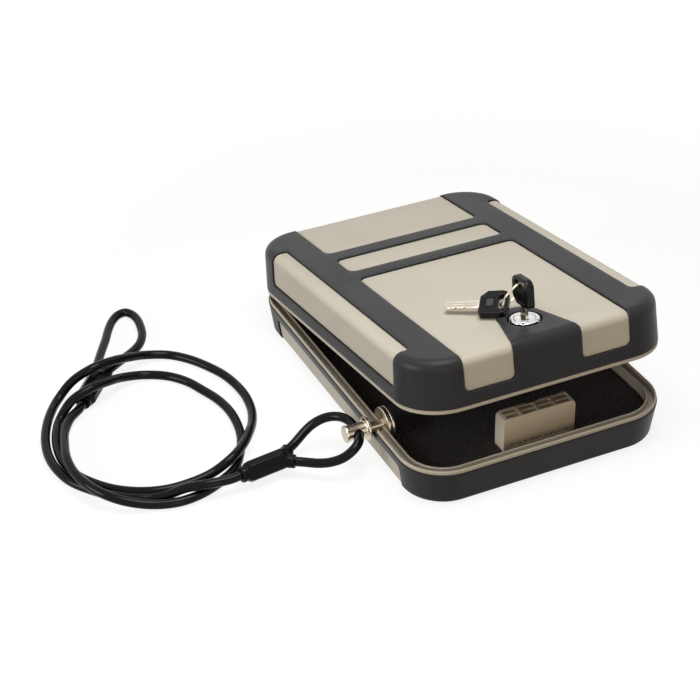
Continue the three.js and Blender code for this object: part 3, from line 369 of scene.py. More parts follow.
def carried(profile, closed=False):
    """Surface of a (setback, z) profile carried round the plan: row r is the plan's outline at the profile's
    setback, at its height. An open profile is closed by a flat face on its first and last rows."""
    loops = [plan_ring(setback) for setback, _ in profile]
    count = len(loops[0])
    points = np.column_stack([np.vstack(loops), np.repeat([z for _, z in profile], count)])
    faces = [ring_quads(len(profile), count, closed)[:, [0, 3, 2, 1]]]
    if not closed:
        ring = np.arange(count)
        faces += [ring[None], (ring[::-1] + (len(profile) - 1) * count)[None]]
    return points, faces


def lathe(profile, steps, axis, centre, closed=False):
    """Surface of revolution: each (radius, height) pair is carried round the axis. Pairs on the axis become
    one point when the mesh's doubles are merged."""
    radius, height = np.asarray(profile, float).T[:, :, None]
    angle = np.linspace(0, 2 * math.pi, steps, endpoint=False)
    first = centre[0] + radius * np.cos(angle)
    second = centre[1] + radius * np.sin(angle)
    height = np.broadcast_to(height, first.shape)
    parts = (first, second, height) if axis == "z" else (height, first, second)
    return np.stack(parts, axis=-1).reshape(-1, 3), [ring_quads(len(profile), steps, closed)]


def rod(radius, start, stop, steps, axis, centre=(0.0, 0.0), rim=0.0):
    """Round rod along an axis between two heights: a rectangle's profile, its rims rounded, on a lathe."""
    corners = [(0, start), (radius, start), (radius, stop), (0, stop)]
    return lathe(rounded(corners, [0, rim, rim, 0], arc_pitch=0.2, closed=False), steps, axis, centre)


def smooth_path(points, spacing):
    """Centripetal Catmull-Rom curve through the points, resampled at even steps along its length."""
    points = np.asarray(points, float)
    ends = np.vstack([2 * points[0] - points[1], points, 2 * points[-1] - points[-2]])
    p0, p1, p2, p3 = ends[:-3], ends[1:-2], ends[2:-1], ends[3:]

    def knot(a, b):
        return np.sqrt(np.linalg.norm(b - a, axis=1))[:, None]

    d0, d1, d2 = knot(p0, p1), knot(p1, p2), knot(p2, p3)
    leave = ((p1 - p0) / d0 - (p2 - p0) / (d0 + d1) + (p2 - p1) / d1) * d1
    arrive = ((p2 - p1) / d1 - (p3 - p1) / (d1 + d2) + (p3 - p2) / d2) * d1
    t = np.linspace(0, 1, 40, endpoint=False)[:, None, None]
    square = -3 * p1 + 3 * p2 - 2 * leave - arrive
    cube = 2 * p1 - 2 * p2 + leave + arrive
    curve = (p1 + leave * t + square * t ** 2 + cube * t ** 3).transpose(1, 0, 2).reshape(-1, 3)
    curve = np.vstack([curve, points[-1]])
    run = np.concatenate([[0], np.cumsum(np.linalg.norm(np.diff(curve, axis=0), axis=1))])
    even = np.linspace(0, run[-1], round(run[-1] / spacing) + 1)
    return np.column_stack([np.interp(even, run, curve[:, axis]) for axis in range(3)])


def oval(half_across, half_up):
    """Section for a tube: an ellipse of two half widths, each a number or a column with one for each point
    of the path."""
    return lambda angle: (half_across * np.cos(angle), half_up * np.sin(angle))


def tube(path, sides, section, reference=(0, 0, 1)):
    """Section carried along a path. The frame at each point is the tangent, its cross product with the
    reference direction, and the cross product of those two, and section(angle) gives (across, up) offsets."""
    tangent = np.gradient(path, axis=0)
    tangent /= np.linalg.norm(tangent, axis=1)[:, None]
    across = np.cross(tangent, reference)
    across /= np.linalg.norm(across, axis=1)[:, None]
    up = np.cross(across, tangent)
    angle = np.linspace(0, 2 * math.pi, sides, endpoint=False)[None]
    sideways, upwards = (np.broadcast_to(part, (len(path), sides)) for part in section(angle))
    points = path[:, None] + across[:, None] * sideways[..., None] + up[:, None] * upwards[..., None]
    near_end = np.arange(sides)[::-1]
    far_end = np.arange(sides) + (len(path) - 1) * sides
    return points.reshape(-1, 3), [ring_quads(len(path), sides), near_end[None], far_end[None]]


def moved(shape, way):
    """Shape with its points carried through a function."""
    points, faces = shape
    return way(points), faces


def joined(*shapes):
    """Several shapes as one: points one after another, and face numbers moved on to match."""
    points = []
    faces = []
    first = 0
    for shape_points, shape_faces in shapes:
        points.append(shape_points)
        faces += [part + first for part in shape_faces]
        first += len(shape_points)
    return np.vstack(points), faces


def outward(points, faces):
    """Faces of a closed shape in the order that points outwards: they are turned round where the sum of the
    signed volumes that they make with the mean of its points is negative."""
    volume = 0.0
    centre = points.mean(0)
    for part in faces:
        corner = points[part] - centre
        for step in range(1, part.shape[1] - 1):
            volume += np.einsum("ij,ij->i", corner[:, 0],
                                np.cross(corner[:, step], corner[:, step + 1])).sum()
    return faces if volume >= 0 else [part[:, ::-1] for part in faces]


def box_shape(x0, x1, y0, y1, z0, z1):
    """Box from its low and high sides."""
    x = np.array([x0, x1])[[0, 1, 1, 0, 0, 1, 1, 0]]
    y = np.array([y0, y1])[[0, 0, 1, 1, 0, 0, 1, 1]]
    z = np.array([z0, z1])[[0, 0, 0, 0, 1, 1, 1, 1]]
    faces = np.array([[3, 2, 1, 0], [4, 5, 6, 7], [0, 1, 5, 4], [1, 2, 6, 5], [2, 3, 7, 6], [3, 0, 4, 7]])
    return np.column_stack([x, y, z]).astype(float), [faces]


# Meshes and objects.

def solid(name, shape):
    """New object at the origin from a shape's arrays: its mesh in metres, its doubles merged, and its faces
    pointing outwards."""
    points, faces = shape
    mesh = bpy.data.meshes.new(name)
    rows = [row for part in outward(points, faces) for row in part.tolist()]
    mesh.from_pydata((points * MM).tolist(), [], rows)
    edit = bmesh.new()
    edit.from_mesh(mesh)
    bmesh.ops.remove_doubles(edit, verts=edit.verts, dist=MERGE_WITHIN)
    bmesh.ops.dissolve_degenerate(edit, dist=SLIVER_BELOW, edges=edit.edges)
    edit.to_mesh(mesh)
    edit.free()
    made = bpy.data.objects.new(name, mesh)
    bpy.context.scene.collection.objects.link(made)
    return made


def bake(piece):
    """Piece's modifiers taken into its mesh."""
    bpy.context.view_layer.update()
    graph = bpy.context.evaluated_depsgraph_get()
    mesh = bpy.data.meshes.new_from_object(piece.evaluated_get(graph))
    old = piece.data
    piece.modifiers.clear()
    piece.data = mesh
    bpy.data.meshes.remove(old)
    piece.data.name = piece.name


def cut(piece, shapes, operation="DIFFERENCE"):
    """Shapes taken out of a piece, or joined to it, one after another."""
    tools = []
    for number, shape in enumerate(shapes):
        tool = solid(f"{piece.name}_tool_{number}", shape)
        step = piece.modifiers.new(f"cut_{number}", "BOOLEAN")
        step.solver = "MANIFOLD"
        step.operation = operation
        step.object = tool
        tools.append(tool)
    bake(piece)
    for tool in tools:
        mesh = tool.data
        bpy.data.objects.remove(tool)
        bpy.data.meshes.remove(mesh)


def soften(piece, width, segments, angle):
    """Edges sharper than an angle rounded over."""
    step = piece.modifiers.new("soft_edges", "BEVEL")
    step.width = width * MM
    step.segments = segments
    step.limit_method = "ANGLE"
    step.angle_limit = math.radians(angle)
    step.use_clamp_overlap = True
    bake(piece)


def dressed(piece, finish_name, body, stands_for=(), angle=32):
    """Piece given its finish, its shading, the body that it rides on and the nodes that it stands for."""
    piece.data.shade_smooth()
    piece.data.set_sharp_from_angle(angle=math.radians(angle))
    piece.data.materials.clear()
    piece.data.materials.append(finish(finish_name))
    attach(piece, body)
    if stands_for:
        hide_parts(*stands_for)
    return piece


def carried_over(names, finish_name):
    """CAD nodes that stay, each with a finish in its object's material slots."""
    for name in names:
        stays = bpy.data.objects[name]
        if not stays.material_slots:
            raise RuntimeError(f"{name} has no material slot")
        for place in stays.material_slots:
            place.link = "OBJECT"
            place.material = finish(finish_name)


# Materials.

def tone(red, green, blue):
    """Colour as it looks on screen, 0 to 255, to the linear values that a shader takes."""
    share = np.array([red, green, blue]) / 255
    return tuple(np.where(share <= 0.04045, share / 12.92, ((share + 0.055) / 1.055) ** 2.4).tolist())


def fed(tree, made, inputs):
    """Node with each named input set to a value or linked to a socket."""
    for key, value in inputs.items():
        if isinstance(value, bpy.types.NodeSocket):
            tree.links.new(value, made.inputs[key])
        else:
            made.inputs[key].default_value = value
    return made


def node(tree, kind, inputs, **settings):
    """Shader node with its settings and its inputs."""
    made = tree.nodes.new(kind)
    for key, value in settings.items():
        setattr(made, key, value)
    return fed(tree, made, inputs)


def noise(tree, vector, scale, detail, **more):
    """Noise from 0 to 1 at a number of features per metre."""
    inputs = {"Vector": vector, "Scale": scale, "Detail": detail, **more}
    return node(tree, "ShaderNodeTexNoise", inputs).outputs["Fac"]


def spread(tree, value, low, high, to_low=0.0, to_high=1.0):
    """Value's place between low and high, clamped, carried to the range from to_low to to_high."""
    inputs = {"Value": value, "From Min": low, "From Max": high, "To Min": to_low, "To Max": to_high}
    return node(tree, "ShaderNodeMapRange", inputs).outputs["Result"]


def worked(tree, operation, *values, clamp=False):
    """Result of a math node on sockets or numbers."""
    made = node(tree, "ShaderNodeMath", dict(enumerate(values)), operation=operation, use_clamp=clamp)
    return made.outputs[0]


def blended(tree, share, first, second):
    """Colour from the first to the second by a share."""
    return node(tree, "ShaderNodeMix", {0: share, 6: first, 7: second}, data_type="RGBA").outputs[2]


def moulded_grain(tree, entry):
    """Fine pebbled texture of moulded plastic as a height: the distance to the nearest cell's middle, plus a
    finer noise."""
    cells = node(tree, "ShaderNodeTexVoronoi", {"Vector": entry["Vector"], "Scale": entry["Cells per Metre"]})
    finer = worked(tree, "MULTIPLY", entry["Cells per Metre"], 2.3)
    fine = noise(tree, entry["Vector"], finer, 2.0)
    return worked(tree, "MULTIPLY_ADD", fine, 0.6, cells.outputs["Distance"])


def handling_marks(tree, entry):
    """Broad uneven patches and long thin rubs as a mask from 0 to 1, where hands have polished a face."""
    patches = noise(tree, entry["Vector"], entry["Patches per Metre"], 5.0, Roughness=0.6, Distortion=0.4)
    broad = spread(tree, patches, 0.36, 0.68)
    turned = node(tree, "ShaderNodeMapping",
                  {"Vector": entry["Vector"], "Rotation": (0.3, 0.2, 0.7), "Scale": (18.0, 420.0, 120.0)})
    thin = spread(tree, noise(tree, turned.outputs["Vector"], 1.0, 3.0), 0.62, 0.72)
    return worked(tree, "ADD", broad, worked(tree, "MULTIPLY", thin, entry["Rubs"]), clamp=True)


def tone_drift(tree, entry):
    """Colour that wanders towards a second one in soft clouds, with faint fine flecks."""
    clouds = noise(tree, entry["Vector"], entry["Clouds per Metre"], 4.0)
    amount = worked(tree, "MULTIPLY", spread(tree, clouds, 0.32, 0.7), entry["Amount"])
    fleck = spread(tree, noise(tree, entry["Vector"], 1300.0, 2.0), 0.55, 0.75)
    share = worked(tree, "ADD", amount, worked(tree, "MULTIPLY", fleck, entry["Flecks"]), clamp=True)
    return blended(tree, share, entry["Colour"], entry["Second Colour"])


# Shader groups by name: what works them out, their one output, and their inputs beside the vector.
GROUPS = {
    "Moulded Grain": (moulded_grain, "Height", {"Cells per Metre": 1500.0}),
    "Handling Marks": (handling_marks, "Mask", {"Patches per Metre": 14.0, "Rubs": 0.3}),
    "Tone Drift": (tone_drift, "Colour", {
        "Colour": (0.5, 0.5, 0.5, 1.0), "Second Colour": (0.4, 0.4, 0.4, 1.0),
        "Clouds per Metre": 20.0, "Amount": 0.5, "Flecks": 0.2}),
}


def shared_group(name):
    """Shader group by name, built on first use."""
    if name in bpy.data.node_groups:
        return bpy.data.node_groups[name]
    work, output, inputs = GROUPS[name]
    tree = bpy.data.node_groups.new(name, "ShaderNodeTree")
    tree.interface.new_socket("Vector", in_out="INPUT", socket_type="NodeSocketVector")
    for label, default in inputs.items():
        kind = "NodeSocketColor" if isinstance(default, tuple) else "NodeSocketFloat"
        tree.interface.new_socket(label, in_out="INPUT", socket_type=kind).default_value = default
    kind = "NodeSocketColor" if output == "Colour" else "NodeSocketFloat"
    tree.interface.new_socket(output, in_out="OUTPUT", socket_type=kind)
    entry = tree.nodes.new("NodeGroupInput")
    leave = tree.nodes.new("NodeGroupOutput")
    tree.links.new(work(tree, entry.outputs), leave.inputs[output])
    return tree


def placed(tree, name, where, inputs):
    """Output of a shared group's node in a material's tree."""
    made = node(tree, "ShaderNodeGroup", {}, node_tree=shared_group(name))
    return fed(tree, made, {"Vector": where, **inputs}).outputs[0]


def started(name):
    """New material, its tree, and the piece's own coordinates."""
    made = bpy.data.materials.new(name)
    made.use_nodes = True
    tree = made.node_tree
    return made, tree, tree.nodes.new("ShaderNodeTexCoord").outputs["Object"]


def drifting(tree, where, colour, second, clouds, amount):
    """Colour of a material as it drifts towards its second one."""
    return placed(tree, "Tone Drift", where, {
        "Colour": (*colour, 1), "Second Colour": (*second, 1), "Clouds per Metre": clouds, "Amount": amount,
        "Flecks": 0.15})


def shaded(tree, colour, rough, height, depth, plain):
    """Principled shader fed with a colour, a roughness, a bump of a depth in metres, and plain values."""
    bump = node(tree, "ShaderNodeBump", {"Height": height, "Strength": 1.0, "Distance": depth})
    feeds = {"Base Color": colour, "Roughness": rough, "Normal": bump.outputs["Normal"]}
    fed(tree, tree.nodes["Principled BSDF"], {**feeds, **plain})


def plastic(name, colour, second, rough, polish, cells, depth, specular, clouds=18.0, patches=14.0,
            drift=0.5):
    """Moulded plastic: drifting colour, pebbled grain in the bump, and patches smoother by polish."""
    made, tree, where = started(name)
    paint = drifting(tree, where, colour, second, clouds, drift)
    marks = placed(tree, "Handling Marks", where, {"Patches per Metre": patches, "Rubs": 0.3})
    grain = placed(tree, "Moulded Grain", where, {"Cells per Metre": cells})
    dull = spread(tree, marks, 0.0, 1.0, rough, max(rough - polish, 0.05))
    shaded(tree, paint, dull, grain, depth, {"Specular IOR Level": specular})
    return made


def metal(name, colour, second, rough, wear, lines, depth, stretch):
    """Metal: colour that drifts a little, fine drawn lines that follow one direction in the bump, and handled
    patches that are rougher by wear."""
    made, tree, where = started(name)
    paint = drifting(tree, where, colour, second, 90.0, 0.6)
    marks = placed(tree, "Handling Marks", where, {"Patches per Metre": 60.0, "Rubs": 0.6})
    drawn = node(tree, "ShaderNodeMapping", {"Vector": where, "Scale": stretch})
    fine = noise(tree, drawn.outputs["Vector"], lines, 3.0)
    dull = spread(tree, marks, 0.0, 1.0, rough, rough + wear)
    shaded(tree, paint, dull, fine, depth, {"Metallic": 1.0})
    return made


def open_foam(name, colour, speck):
    """Open-cell foam: near black, with paler cell walls catching light, and deep cells in the bump."""
    made, tree, where = started(name)
    cells = node(tree, "ShaderNodeTexVoronoi", {"Vector": where, "Scale": 900.0})
    coarse = noise(tree, where, 1000.0, 3.0, Roughness=0.65)
    share = worked(tree, "MULTIPLY", spread(tree, coarse, 0.47, 0.68), noise(tree, where, 26.0, 3.0))
    paint = blended(tree, share, (*colour, 1), (*speck, 1))
    height = worked(tree, "MULTIPLY_ADD", cells.outputs["Distance"], 0.8, coarse)
    rough = spread(tree, coarse, 0.0, 1.0, 0.98, 0.8)
    shaded(tree, paint, rough, height, 0.0006, {"Specular IOR Level": 0.15})
    return made


FINISHES = {}


def finish(name):
    """Finish by name, made on first use from the colours in the sidebar."""
    if name in FINISHES:
        return FINISHES[name]
    colours = bpy.context.scene.safe_colours
    tan = tuple(colours.tan)
    dark = tuple(colours.dark)
    vinyl = tuple(colours.vinyl)
    black = tone(20, 20, 22)
    # Material, its two colours, roughness, polish, cells per metre, grain's depth, specular, clouds and
    # patches per metre, and the share that the colour drifts.
    plastics = {
        "tan": ("tan_plastic", tan, [0.86 * c for c in tan], 0.5, 0.14, 1500.0, 4e-5, 0.35),
        # Latch block: a paler copy of the tan plastic, painted light for its front, which is lit brighter
        # under the lid.
        "block": ("latch_block_plastic", tone(219, 209, 191), tone(201, 192, 174), 0.46, 0.14, 1500.0, 4e-5,
                  0.35),
        "dark": ("dark_jacket", dark, [1.35 * c for c in dark], 0.4, 0.12, 1150.0, 6e-5, 0.13, 18.0, 14.0,
                 0.6),
        "vinyl": ("cable_vinyl", vinyl, black, 0.17, 0.06, 900.0, 8e-6, 0.14, 40.0, 40.0),
        "sleeve": ("ferrule_sleeve", vinyl, black, 0.26, 0.08, 1000.0, 2e-5, 0.1, 60.0, 60.0),
        "grip": ("key_grip", tone(12, 12, 14), black, 0.18, 0.08, 1800.0, 1e-5, 0.2, 120.0, 90.0),
        "badge": ("key_badge", tone(70, 70, 72), tone(46, 46, 48), 0.36, 0.1, 2200.0, 2e-5, 0.2, 300.0,
                  150.0),
        # Near black on the lock recess's floor is painted shade: the floor is dark jacket plastic.
        "recess": ("lock_recess_black", tone(12, 12, 13), tone(18, 18, 19), 0.6, 0.1, 1500.0, 3e-5, 0.05),
    }
    # Material, its two colours, roughness, wear, lines per metre, their depth, and their stretch by axis.
    metals = {
        "blade": ("key_blade_nickel", tone(236, 230, 220), tone(206, 194, 174), 0.14, 0.12, 50.0, 1e-5,
                  (6.0, 60.0, 60.0)),
        "chrome": ("lock_chrome", tone(232, 232, 232), tone(206, 206, 208), 0.07, 0.1, 60.0, 4e-6,
                   (40.0, 40.0, 4.0)),
        "nickel": ("nickel", tone(216, 205, 186), tone(178, 162, 138), 0.2, 0.14, 50.0, 1e-5,
                   (6.0, 60.0, 60.0)),
        "zinc": ("zinc", tone(176, 178, 180), tone(140, 142, 146), 0.34, 0.16, 60.0, 1e-5,
                 (30.0, 30.0, 30.0)),
        "brass": ("brass", tone(198, 164, 92), tone(160, 124, 66), 0.28, 0.16, 60.0, 1e-5, (30.0, 30.0, 4.0)),
    }
    foams = {"foam": ("foam", tuple(colours.foam), tone(136, 131, 134))}
    for maker, table in ((plastic, plastics), (metal, metals), (open_foam, foams)):
        if name in table:
            FINISHES[name] = maker(*table[name])
    return FINISHES[name]


# Camera and cables.

# Cable routes in metres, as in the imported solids.
PIN_EYE_ROUTE = [
    (-0.1222, -0.0339, 0.0143), (-0.1168, -0.0324, 0.0164), (-0.111, -0.0326, 0.0186),
    (-0.1054, -0.0352, 0.0207), (-0.1008, -0.0404, 0.0223), (-0.0983, -0.0475, 0.0231),
    (-0.098, -0.054, 0.0231), (-0.0986, -0.0595, 0.023), (-0.0996, -0.0653, 0.0227),
    (-0.1023, -0.0696, 0.0219), (-0.107, -0.0723, 0.0198), (-0.113, -0.0719, 0.016),
    (-0.1198, -0.0683, 0.0124), (-0.1265, -0.0633, 0.0104),
]
END_EYE_ROUTE = [
    (-0.207, 0.118, 0.0054), (-0.202, 0.1275, 0.0048), (-0.1964, 0.138, 0.004), (-0.19, 0.151, 0.0033),
    (-0.184, 0.1607, 0.003), (-0.1778, 0.1666, 0.003), (-0.1722, 0.1677, 0.003), (-0.1688, 0.163, 0.003),
    (-0.1676, 0.155, 0.003), (-0.1686, 0.145, 0.003), (-0.1712, 0.1343, 0.003), (-0.1766, 0.1245, 0.003),
    (-0.1835, 0.1176, 0.0033), (-0.191, 0.1116, 0.0042),
]
RUN_ROUTE = [
    (-0.1925, -0.053, 0.0105), (-0.207, -0.048, 0.0087), (-0.221, -0.043, 0.0035),
    (-0.2355, -0.0375, 0.0034), (-0.248, -0.0285, 0.0038), (-0.258, -0.0165, 0.0035),
    (-0.266, -0.003, 0.0032), (-0.27, 0.012, 0.0034), (-0.2705, 0.0275, 0.0031), (-0.268, 0.0425, 0.0031),
    (-0.263, 0.0575, 0.0031), (-0.256, 0.0715, 0.0032), (-0.247, 0.084, 0.0039), (-0.2345, 0.089, 0.0117),
    (-0.22, 0.0895, 0.0173), (-0.2055, 0.094, 0.0158), (-0.192, 0.1, 0.0111), (-0.178, 0.1055, 0.0056),
    (-0.1635, 0.102, 0.0033), (-0.153, 0.091, 0.0032), (-0.145, 0.0775, 0.0031), (-0.139, 0.063, 0.0031),
    (-0.136, 0.048, 0.0031), (-0.1355, 0.0325, 0.0031), (-0.138, 0.017, 0.0032), (-0.1435, 0.0025, 0.0046),
    (-0.151, -0.011, 0.0077), (-0.16, -0.0235, 0.0095), (-0.171, -0.0335, 0.0101),
    (-0.1855, -0.0365, 0.0051), (-0.201, -0.0375, 0.0032), (-0.2165, -0.037, 0.0031),
    (-0.231, -0.032, 0.0031), (-0.244, -0.023, 0.0031), (-0.254, -0.011, 0.0031), (-0.261, 0.0025, 0.0031),
    (-0.264, 0.018, 0.0031), (-0.263, 0.0335, 0.0031), (-0.259, 0.0485, 0.0034), (-0.252, 0.0625, 0.0039),
    (-0.242, 0.0665, 0.0125), (-0.2275, 0.0695, 0.016), (-0.2145, 0.0765, 0.0127), (-0.202, 0.0845, 0.0073),
    (-0.187, 0.0865, 0.0035), (-0.1735, 0.079, 0.0031), (-0.164, 0.067, 0.0031), (-0.158, 0.0525, 0.0031),
    (-0.153, 0.0375, 0.0031), (-0.151, 0.0225, 0.0031), (-0.152, 0.0065, 0.0031),
    (-0.1555, -0.0085, 0.0031), (-0.162, -0.0225, 0.0031), (-0.171, -0.036, 0.0031),
    (-0.1835, -0.0445, 0.0031), (-0.198, -0.0505, 0.0031), (-0.213, -0.052, 0.0031),
    (-0.228, -0.048, 0.0035), (-0.2425, -0.042, 0.0065), (-0.2535, -0.032, 0.009), (-0.2605, -0.018, 0.01),
    (-0.2635, -0.003, 0.01), (-0.263, 0.0125, 0.01), (-0.2595, 0.028, 0.0086), (-0.255, 0.0425, 0.0071),
    (-0.247, 0.056, 0.0067),
]

# Sizes in millimetres and degrees. A ferrule's exits are along, across, turn and rise, and its mouth is the
# half widths of its last stations.
CABLE_RADIUS = 3.0
STRAIGHT_END = 6.0
FIT = 0.3
FERRULE_A = {
    "neck": (-173.55, -52.63, 9.9),
    "bearing": 8.2,
    "exits": ((38.0, 6.0, 20.0, 10.0), (35.0, -7.3, -42.0, 0.0)),
    "mouth": (7.6, 8.6, 8.9, 8.3, 7.3),
}
FERRULE_B = {
    "neck": (-234.65, 69.2, 6.35),
    "bearing": 52.9,
    "exits": ((38.5, 4.1, 12.0, -3.0), (38.5, -4.1, -14.0, -3.0)),
    "mouth": (7.3, 7.8, 7.9, 7.3, 6.3),
}


def heading(bearing, rise=0.0):
    """Unit direction from a bearing in the floor's plane and a rise above it, in degrees."""
    turn = math.radians(bearing)
    slope = math.radians(rise)
    return np.array([math.cos(turn) * math.cos(slope), math.sin(turn) * math.cos(slope), math.sin(slope)])


def neck_of(ferrule):
    """Point and direction at which the cable leaves a ferrule's neck."""
    return np.array(ferrule["neck"]), -heading(ferrule["bearing"])


def exit_of(ferrule, number):
    """Point and direction at which an eye leaves a ferrule: along and across its axis, then turned and
    raised."""
    along, across, turn, rise = ferrule["exits"][number]
    axis = heading(ferrule["bearing"])
    side = heading(ferrule["bearing"] + 90)
    point = np.array(ferrule["neck"]) + axis * along + side * across
    return point, heading(ferrule["bearing"] + turn, rise)


def cable_line(start, route, stop):
    """Centreline of a cable between two ends: a short straight run out of each end, and the route between."""
    (start_point, start_way), (stop_point, stop_way) = start, stop
    reach = np.array([FIT, FIT + STRAIGHT_END])[:, None]
    route = np.asarray(route) / MM
    return smooth_path(np.vstack([start_point + start_way * reach, route,
                                  (stop_point + stop_way * reach)[::-1]]), 1.6)


def cable(name, start, route, stop, node_name):
    """Vinyl-covered cable as a round tube on its centreline."""
    line = cable_line(start, route, stop)
    made = solid(name, tube(line, 22, oval(CABLE_RADIUS, CABLE_RADIUS)))
    dressed(made, "vinyl", "base", (node_name,), 60)
    return made


def ferrule(name, spec, node_name):
    """Crimped sleeve: a round neck, an octagonal body with drawn-in ends and a wide mouth, lofted along its
    axis, and two round sleeves that the eye's ends leave through. The section at each station is a blend of
    a circle and a blunt octagon of one half width, stretched sideways towards the mouth."""
    # Along, half height, half width and share of octagon at each station.
    rows = np.array([
        [0.0, 4.3, 4.3, 0.0], [0.25, 4.8, 4.8, 0.0], [0.8, 5.0, 5.0, 0.0], [2.7, 5.0, 5.0, 0.0],
        [3.0, 4.55, 4.55, 0.1], [3.5, 4.5, 4.5, 0.2], [3.9, 4.9, 4.9, 0.6], [4.4, 5.3, 5.3, 0.9],
        [5.9, 6.15, 6.15, 1.0], [6.5, 6.3, 6.3, 1.0], [20.0, 6.3, 6.3, 1.0], [28.2, 6.3, 6.35, 1.0],
        [29.4, 6.15, 6.5, 0.95], [30.6, 5.75, 6.9, 0.7], [31.6, 5.4, 0.0, 0.4], [33.0, 5.1, 0.0, 0.15],
        [34.2, 4.8, 0.0, 0.0], [34.8, 4.2, 0.0, 0.0], [35.0, 3.2, 0.0, 0.0],
    ])
    rows[-len(spec["mouth"]):, 2] = spec["mouth"]
    along = np.concatenate([np.linspace(a, b, 4, endpoint=False) for a, b in zip(rows[:, 0], rows[1:, 0])])
    along = np.append(along, rows[-1, 0])
    high, wide, sharp = (np.interp(along, rows[:, 0], part)[:, None] for part in rows.T[1:])
    line = np.array(spec["neck"]) + heading(spec["bearing"]) * along[:, None]

    blunt = 1.062

    def crimped(angle):
        facet = (angle + math.pi / 8) % (math.pi / 4) - math.pi / 8
        radius = (1 - sharp) + sharp * np.minimum(1 / np.cos(facet), blunt)
        return wide * radius * np.cos(angle), high * radius * np.sin(angle)

    shapes = [tube(line, 96, crimped)]
    reach = np.array([-9.0, -5.0, -1.0, -0.6, -0.2, 0.0])[:, None]
    radii = np.array([4.3, 4.3, 4.3, 4.25, 4.0, 3.6])[:, None]
    for number in range(2):
        point, way = exit_of(spec, number)
        shapes.append(tube(point + way * reach, 40, oval(radii, radii)))
    return dressed(solid(name, joined(*shapes)), "sleeve", "base", (node_name,), 24)


def set_camera():
    """Camera of the photograph's view: a place, an azimuth and elevation looked from, a roll, a lens."""
    azimuth = math.radians(-24.21)
    elevation = math.radians(33.26)
    roll = math.radians(-1.48)
    back = Vector((math.sin(azimuth) * math.cos(elevation), -math.cos(azimuth) * math.cos(elevation),
                   math.sin(elevation)))
    right = Vector((math.cos(azimuth), math.sin(azimuth), 0.0))
    up = back.cross(right)
    turned_right = right * math.cos(roll) + up * math.sin(roll)
    turned_up = up * math.cos(roll) - right * math.sin(roll)
    lens = bpy.data.cameras.new("view_camera")
    lens.lens = 91.57
    lens.sensor_width = 36.0
    lens.clip_start = 0.05
    lens.clip_end = 50.0
    made = bpy.data.objects.new("view_camera", lens)
    turn = Matrix((turned_right, turned_up, back)).transposed().to_4x4()
    made.matrix_world = Matrix.Translation((-0.464717, -0.866978, 0.664206)) @ turn
    bpy.context.scene.collection.objects.link(made)
    bpy.context.scene.camera = made


def lay_cables():
    """Three cables and the two ferrules that join them."""
    first = ferrule("ferrule_by_pin", FERRULE_A, "ferrule_a")
    second = ferrule("ferrule_far", FERRULE_B, "ferrule_b")
    cable("long_cable", neck_of(FERRULE_A), RUN_ROUTE, neck_of(FERRULE_B),
          "cable_run")
    cable("eye_round_pin", exit_of(FERRULE_A, 0), PIN_EYE_ROUTE, exit_of(FERRULE_A, 1),
          "pin_eye")
    cable("eye_far_end", exit_of(FERRULE_B, 0), END_EYE_ROUTE, exit_of(FERRULE_B, 1),
          "end_eye")


# Windows and panels. A window is a counter-clockwise loop of chart points.

def base_chart():
    """Chart of the base's outside."""
    return Skin(base_skin(0.0), -1)


def lid_chart():
    """Chart of the lid's outside."""
    return Skin(lid_skin(0.0, LID_RIM), 1)


def side_window(chart, side, inner, edge_height, corner):
    """Window in a side: from a line inside the flat part, over the edge and along the side to a height."""
    outer = chart.half_x + chart.at_height(edge_height)
    loop = rounded(rectangle(inner, outer, -96.0, 90.0), corner, WINDOW_PITCH)
    return loop if side > 0 else (loop * (-1, 1))[::-1]


def base_window(chart, side):
    """Window in the base's side, low enough to leave a dark band under the rim."""
    return side_window(chart, side, 82.0, 17.0, (1.8, 3.4, 3.4, 1.8))


def lid_windows(chart):
    """The lid's five windows by name, the last of them round the lock's tongue."""
    low = chart.at_height(LID_WINDOW_LOW)
    front = -(chart.half_y + low)
    rear = chart.half_y + low
    fold = -(chart.half_y + chart.at_setback(3.5))
    tip = np.radians(np.linspace(9.93, 170.07, 34))
    arc = np.column_stack([TONGUE_RADIUS * np.cos(tip), -94.0 + TONGUE_RADIUS * np.sin(tip)])
    half = 56.5
    foot = 22.8
    corners = [(-half, front), (-foot, front), (-foot, fold), *arc[::-1].tolist(), (foot, fold),
               (foot, front), (half, front), (half, 18.0), (-half, 18.0)]
    radii = [4.2, 3.6, 5.0, *([0.0] * len(arc)), 5.0, 3.6, 4.2, 5.2, 5.2]
    left, right = (side_window(chart, side, 76.0, LID_WINDOW_LOW, (3.4, 3.6, 3.6, 3.4))
                   for side in (-1, 1))
    return {
        "left": left,
        "right": right,
        "rear": rounded(rectangle(-half, half, 68.0, rear), (5.6, 2.8, 4.2, 4.2), WINDOW_PITCH),
        "name": rounded(rectangle(-56.0, 56.0, 30.6, 55.3), (5.6, 2.8, 5.0, 5.0), WINDOW_PITCH),
        "main": rounded(corners, radii, WINDOW_PITCH),
    }


def chart_points(chart):
    """Inner points of a skin chart: wide apart on the flat part, close over the edge, wider on the side."""
    edge = chart.at_height(BASE_EDGE if chart.normal[0, 1] < 0 else LID_SHOULDER)
    lines = [-1.6, -0.5, *np.linspace(0, edge, 11), *np.arange(edge + 1.2, edge + 4, 1.2),
             *np.arange(edge + 5.5, chart.run[-1], 4.0)]
    flat = grid(3 - chart.half_x, chart.half_x - 3, 3 - chart.half_y, chart.half_y - 3, 6.5)
    within = inside(flat, [chart.loop(-2.4, 3.0)])
    return np.vstack([*(chart.loop(distance, 3.0) for distance in lines), flat[within]])


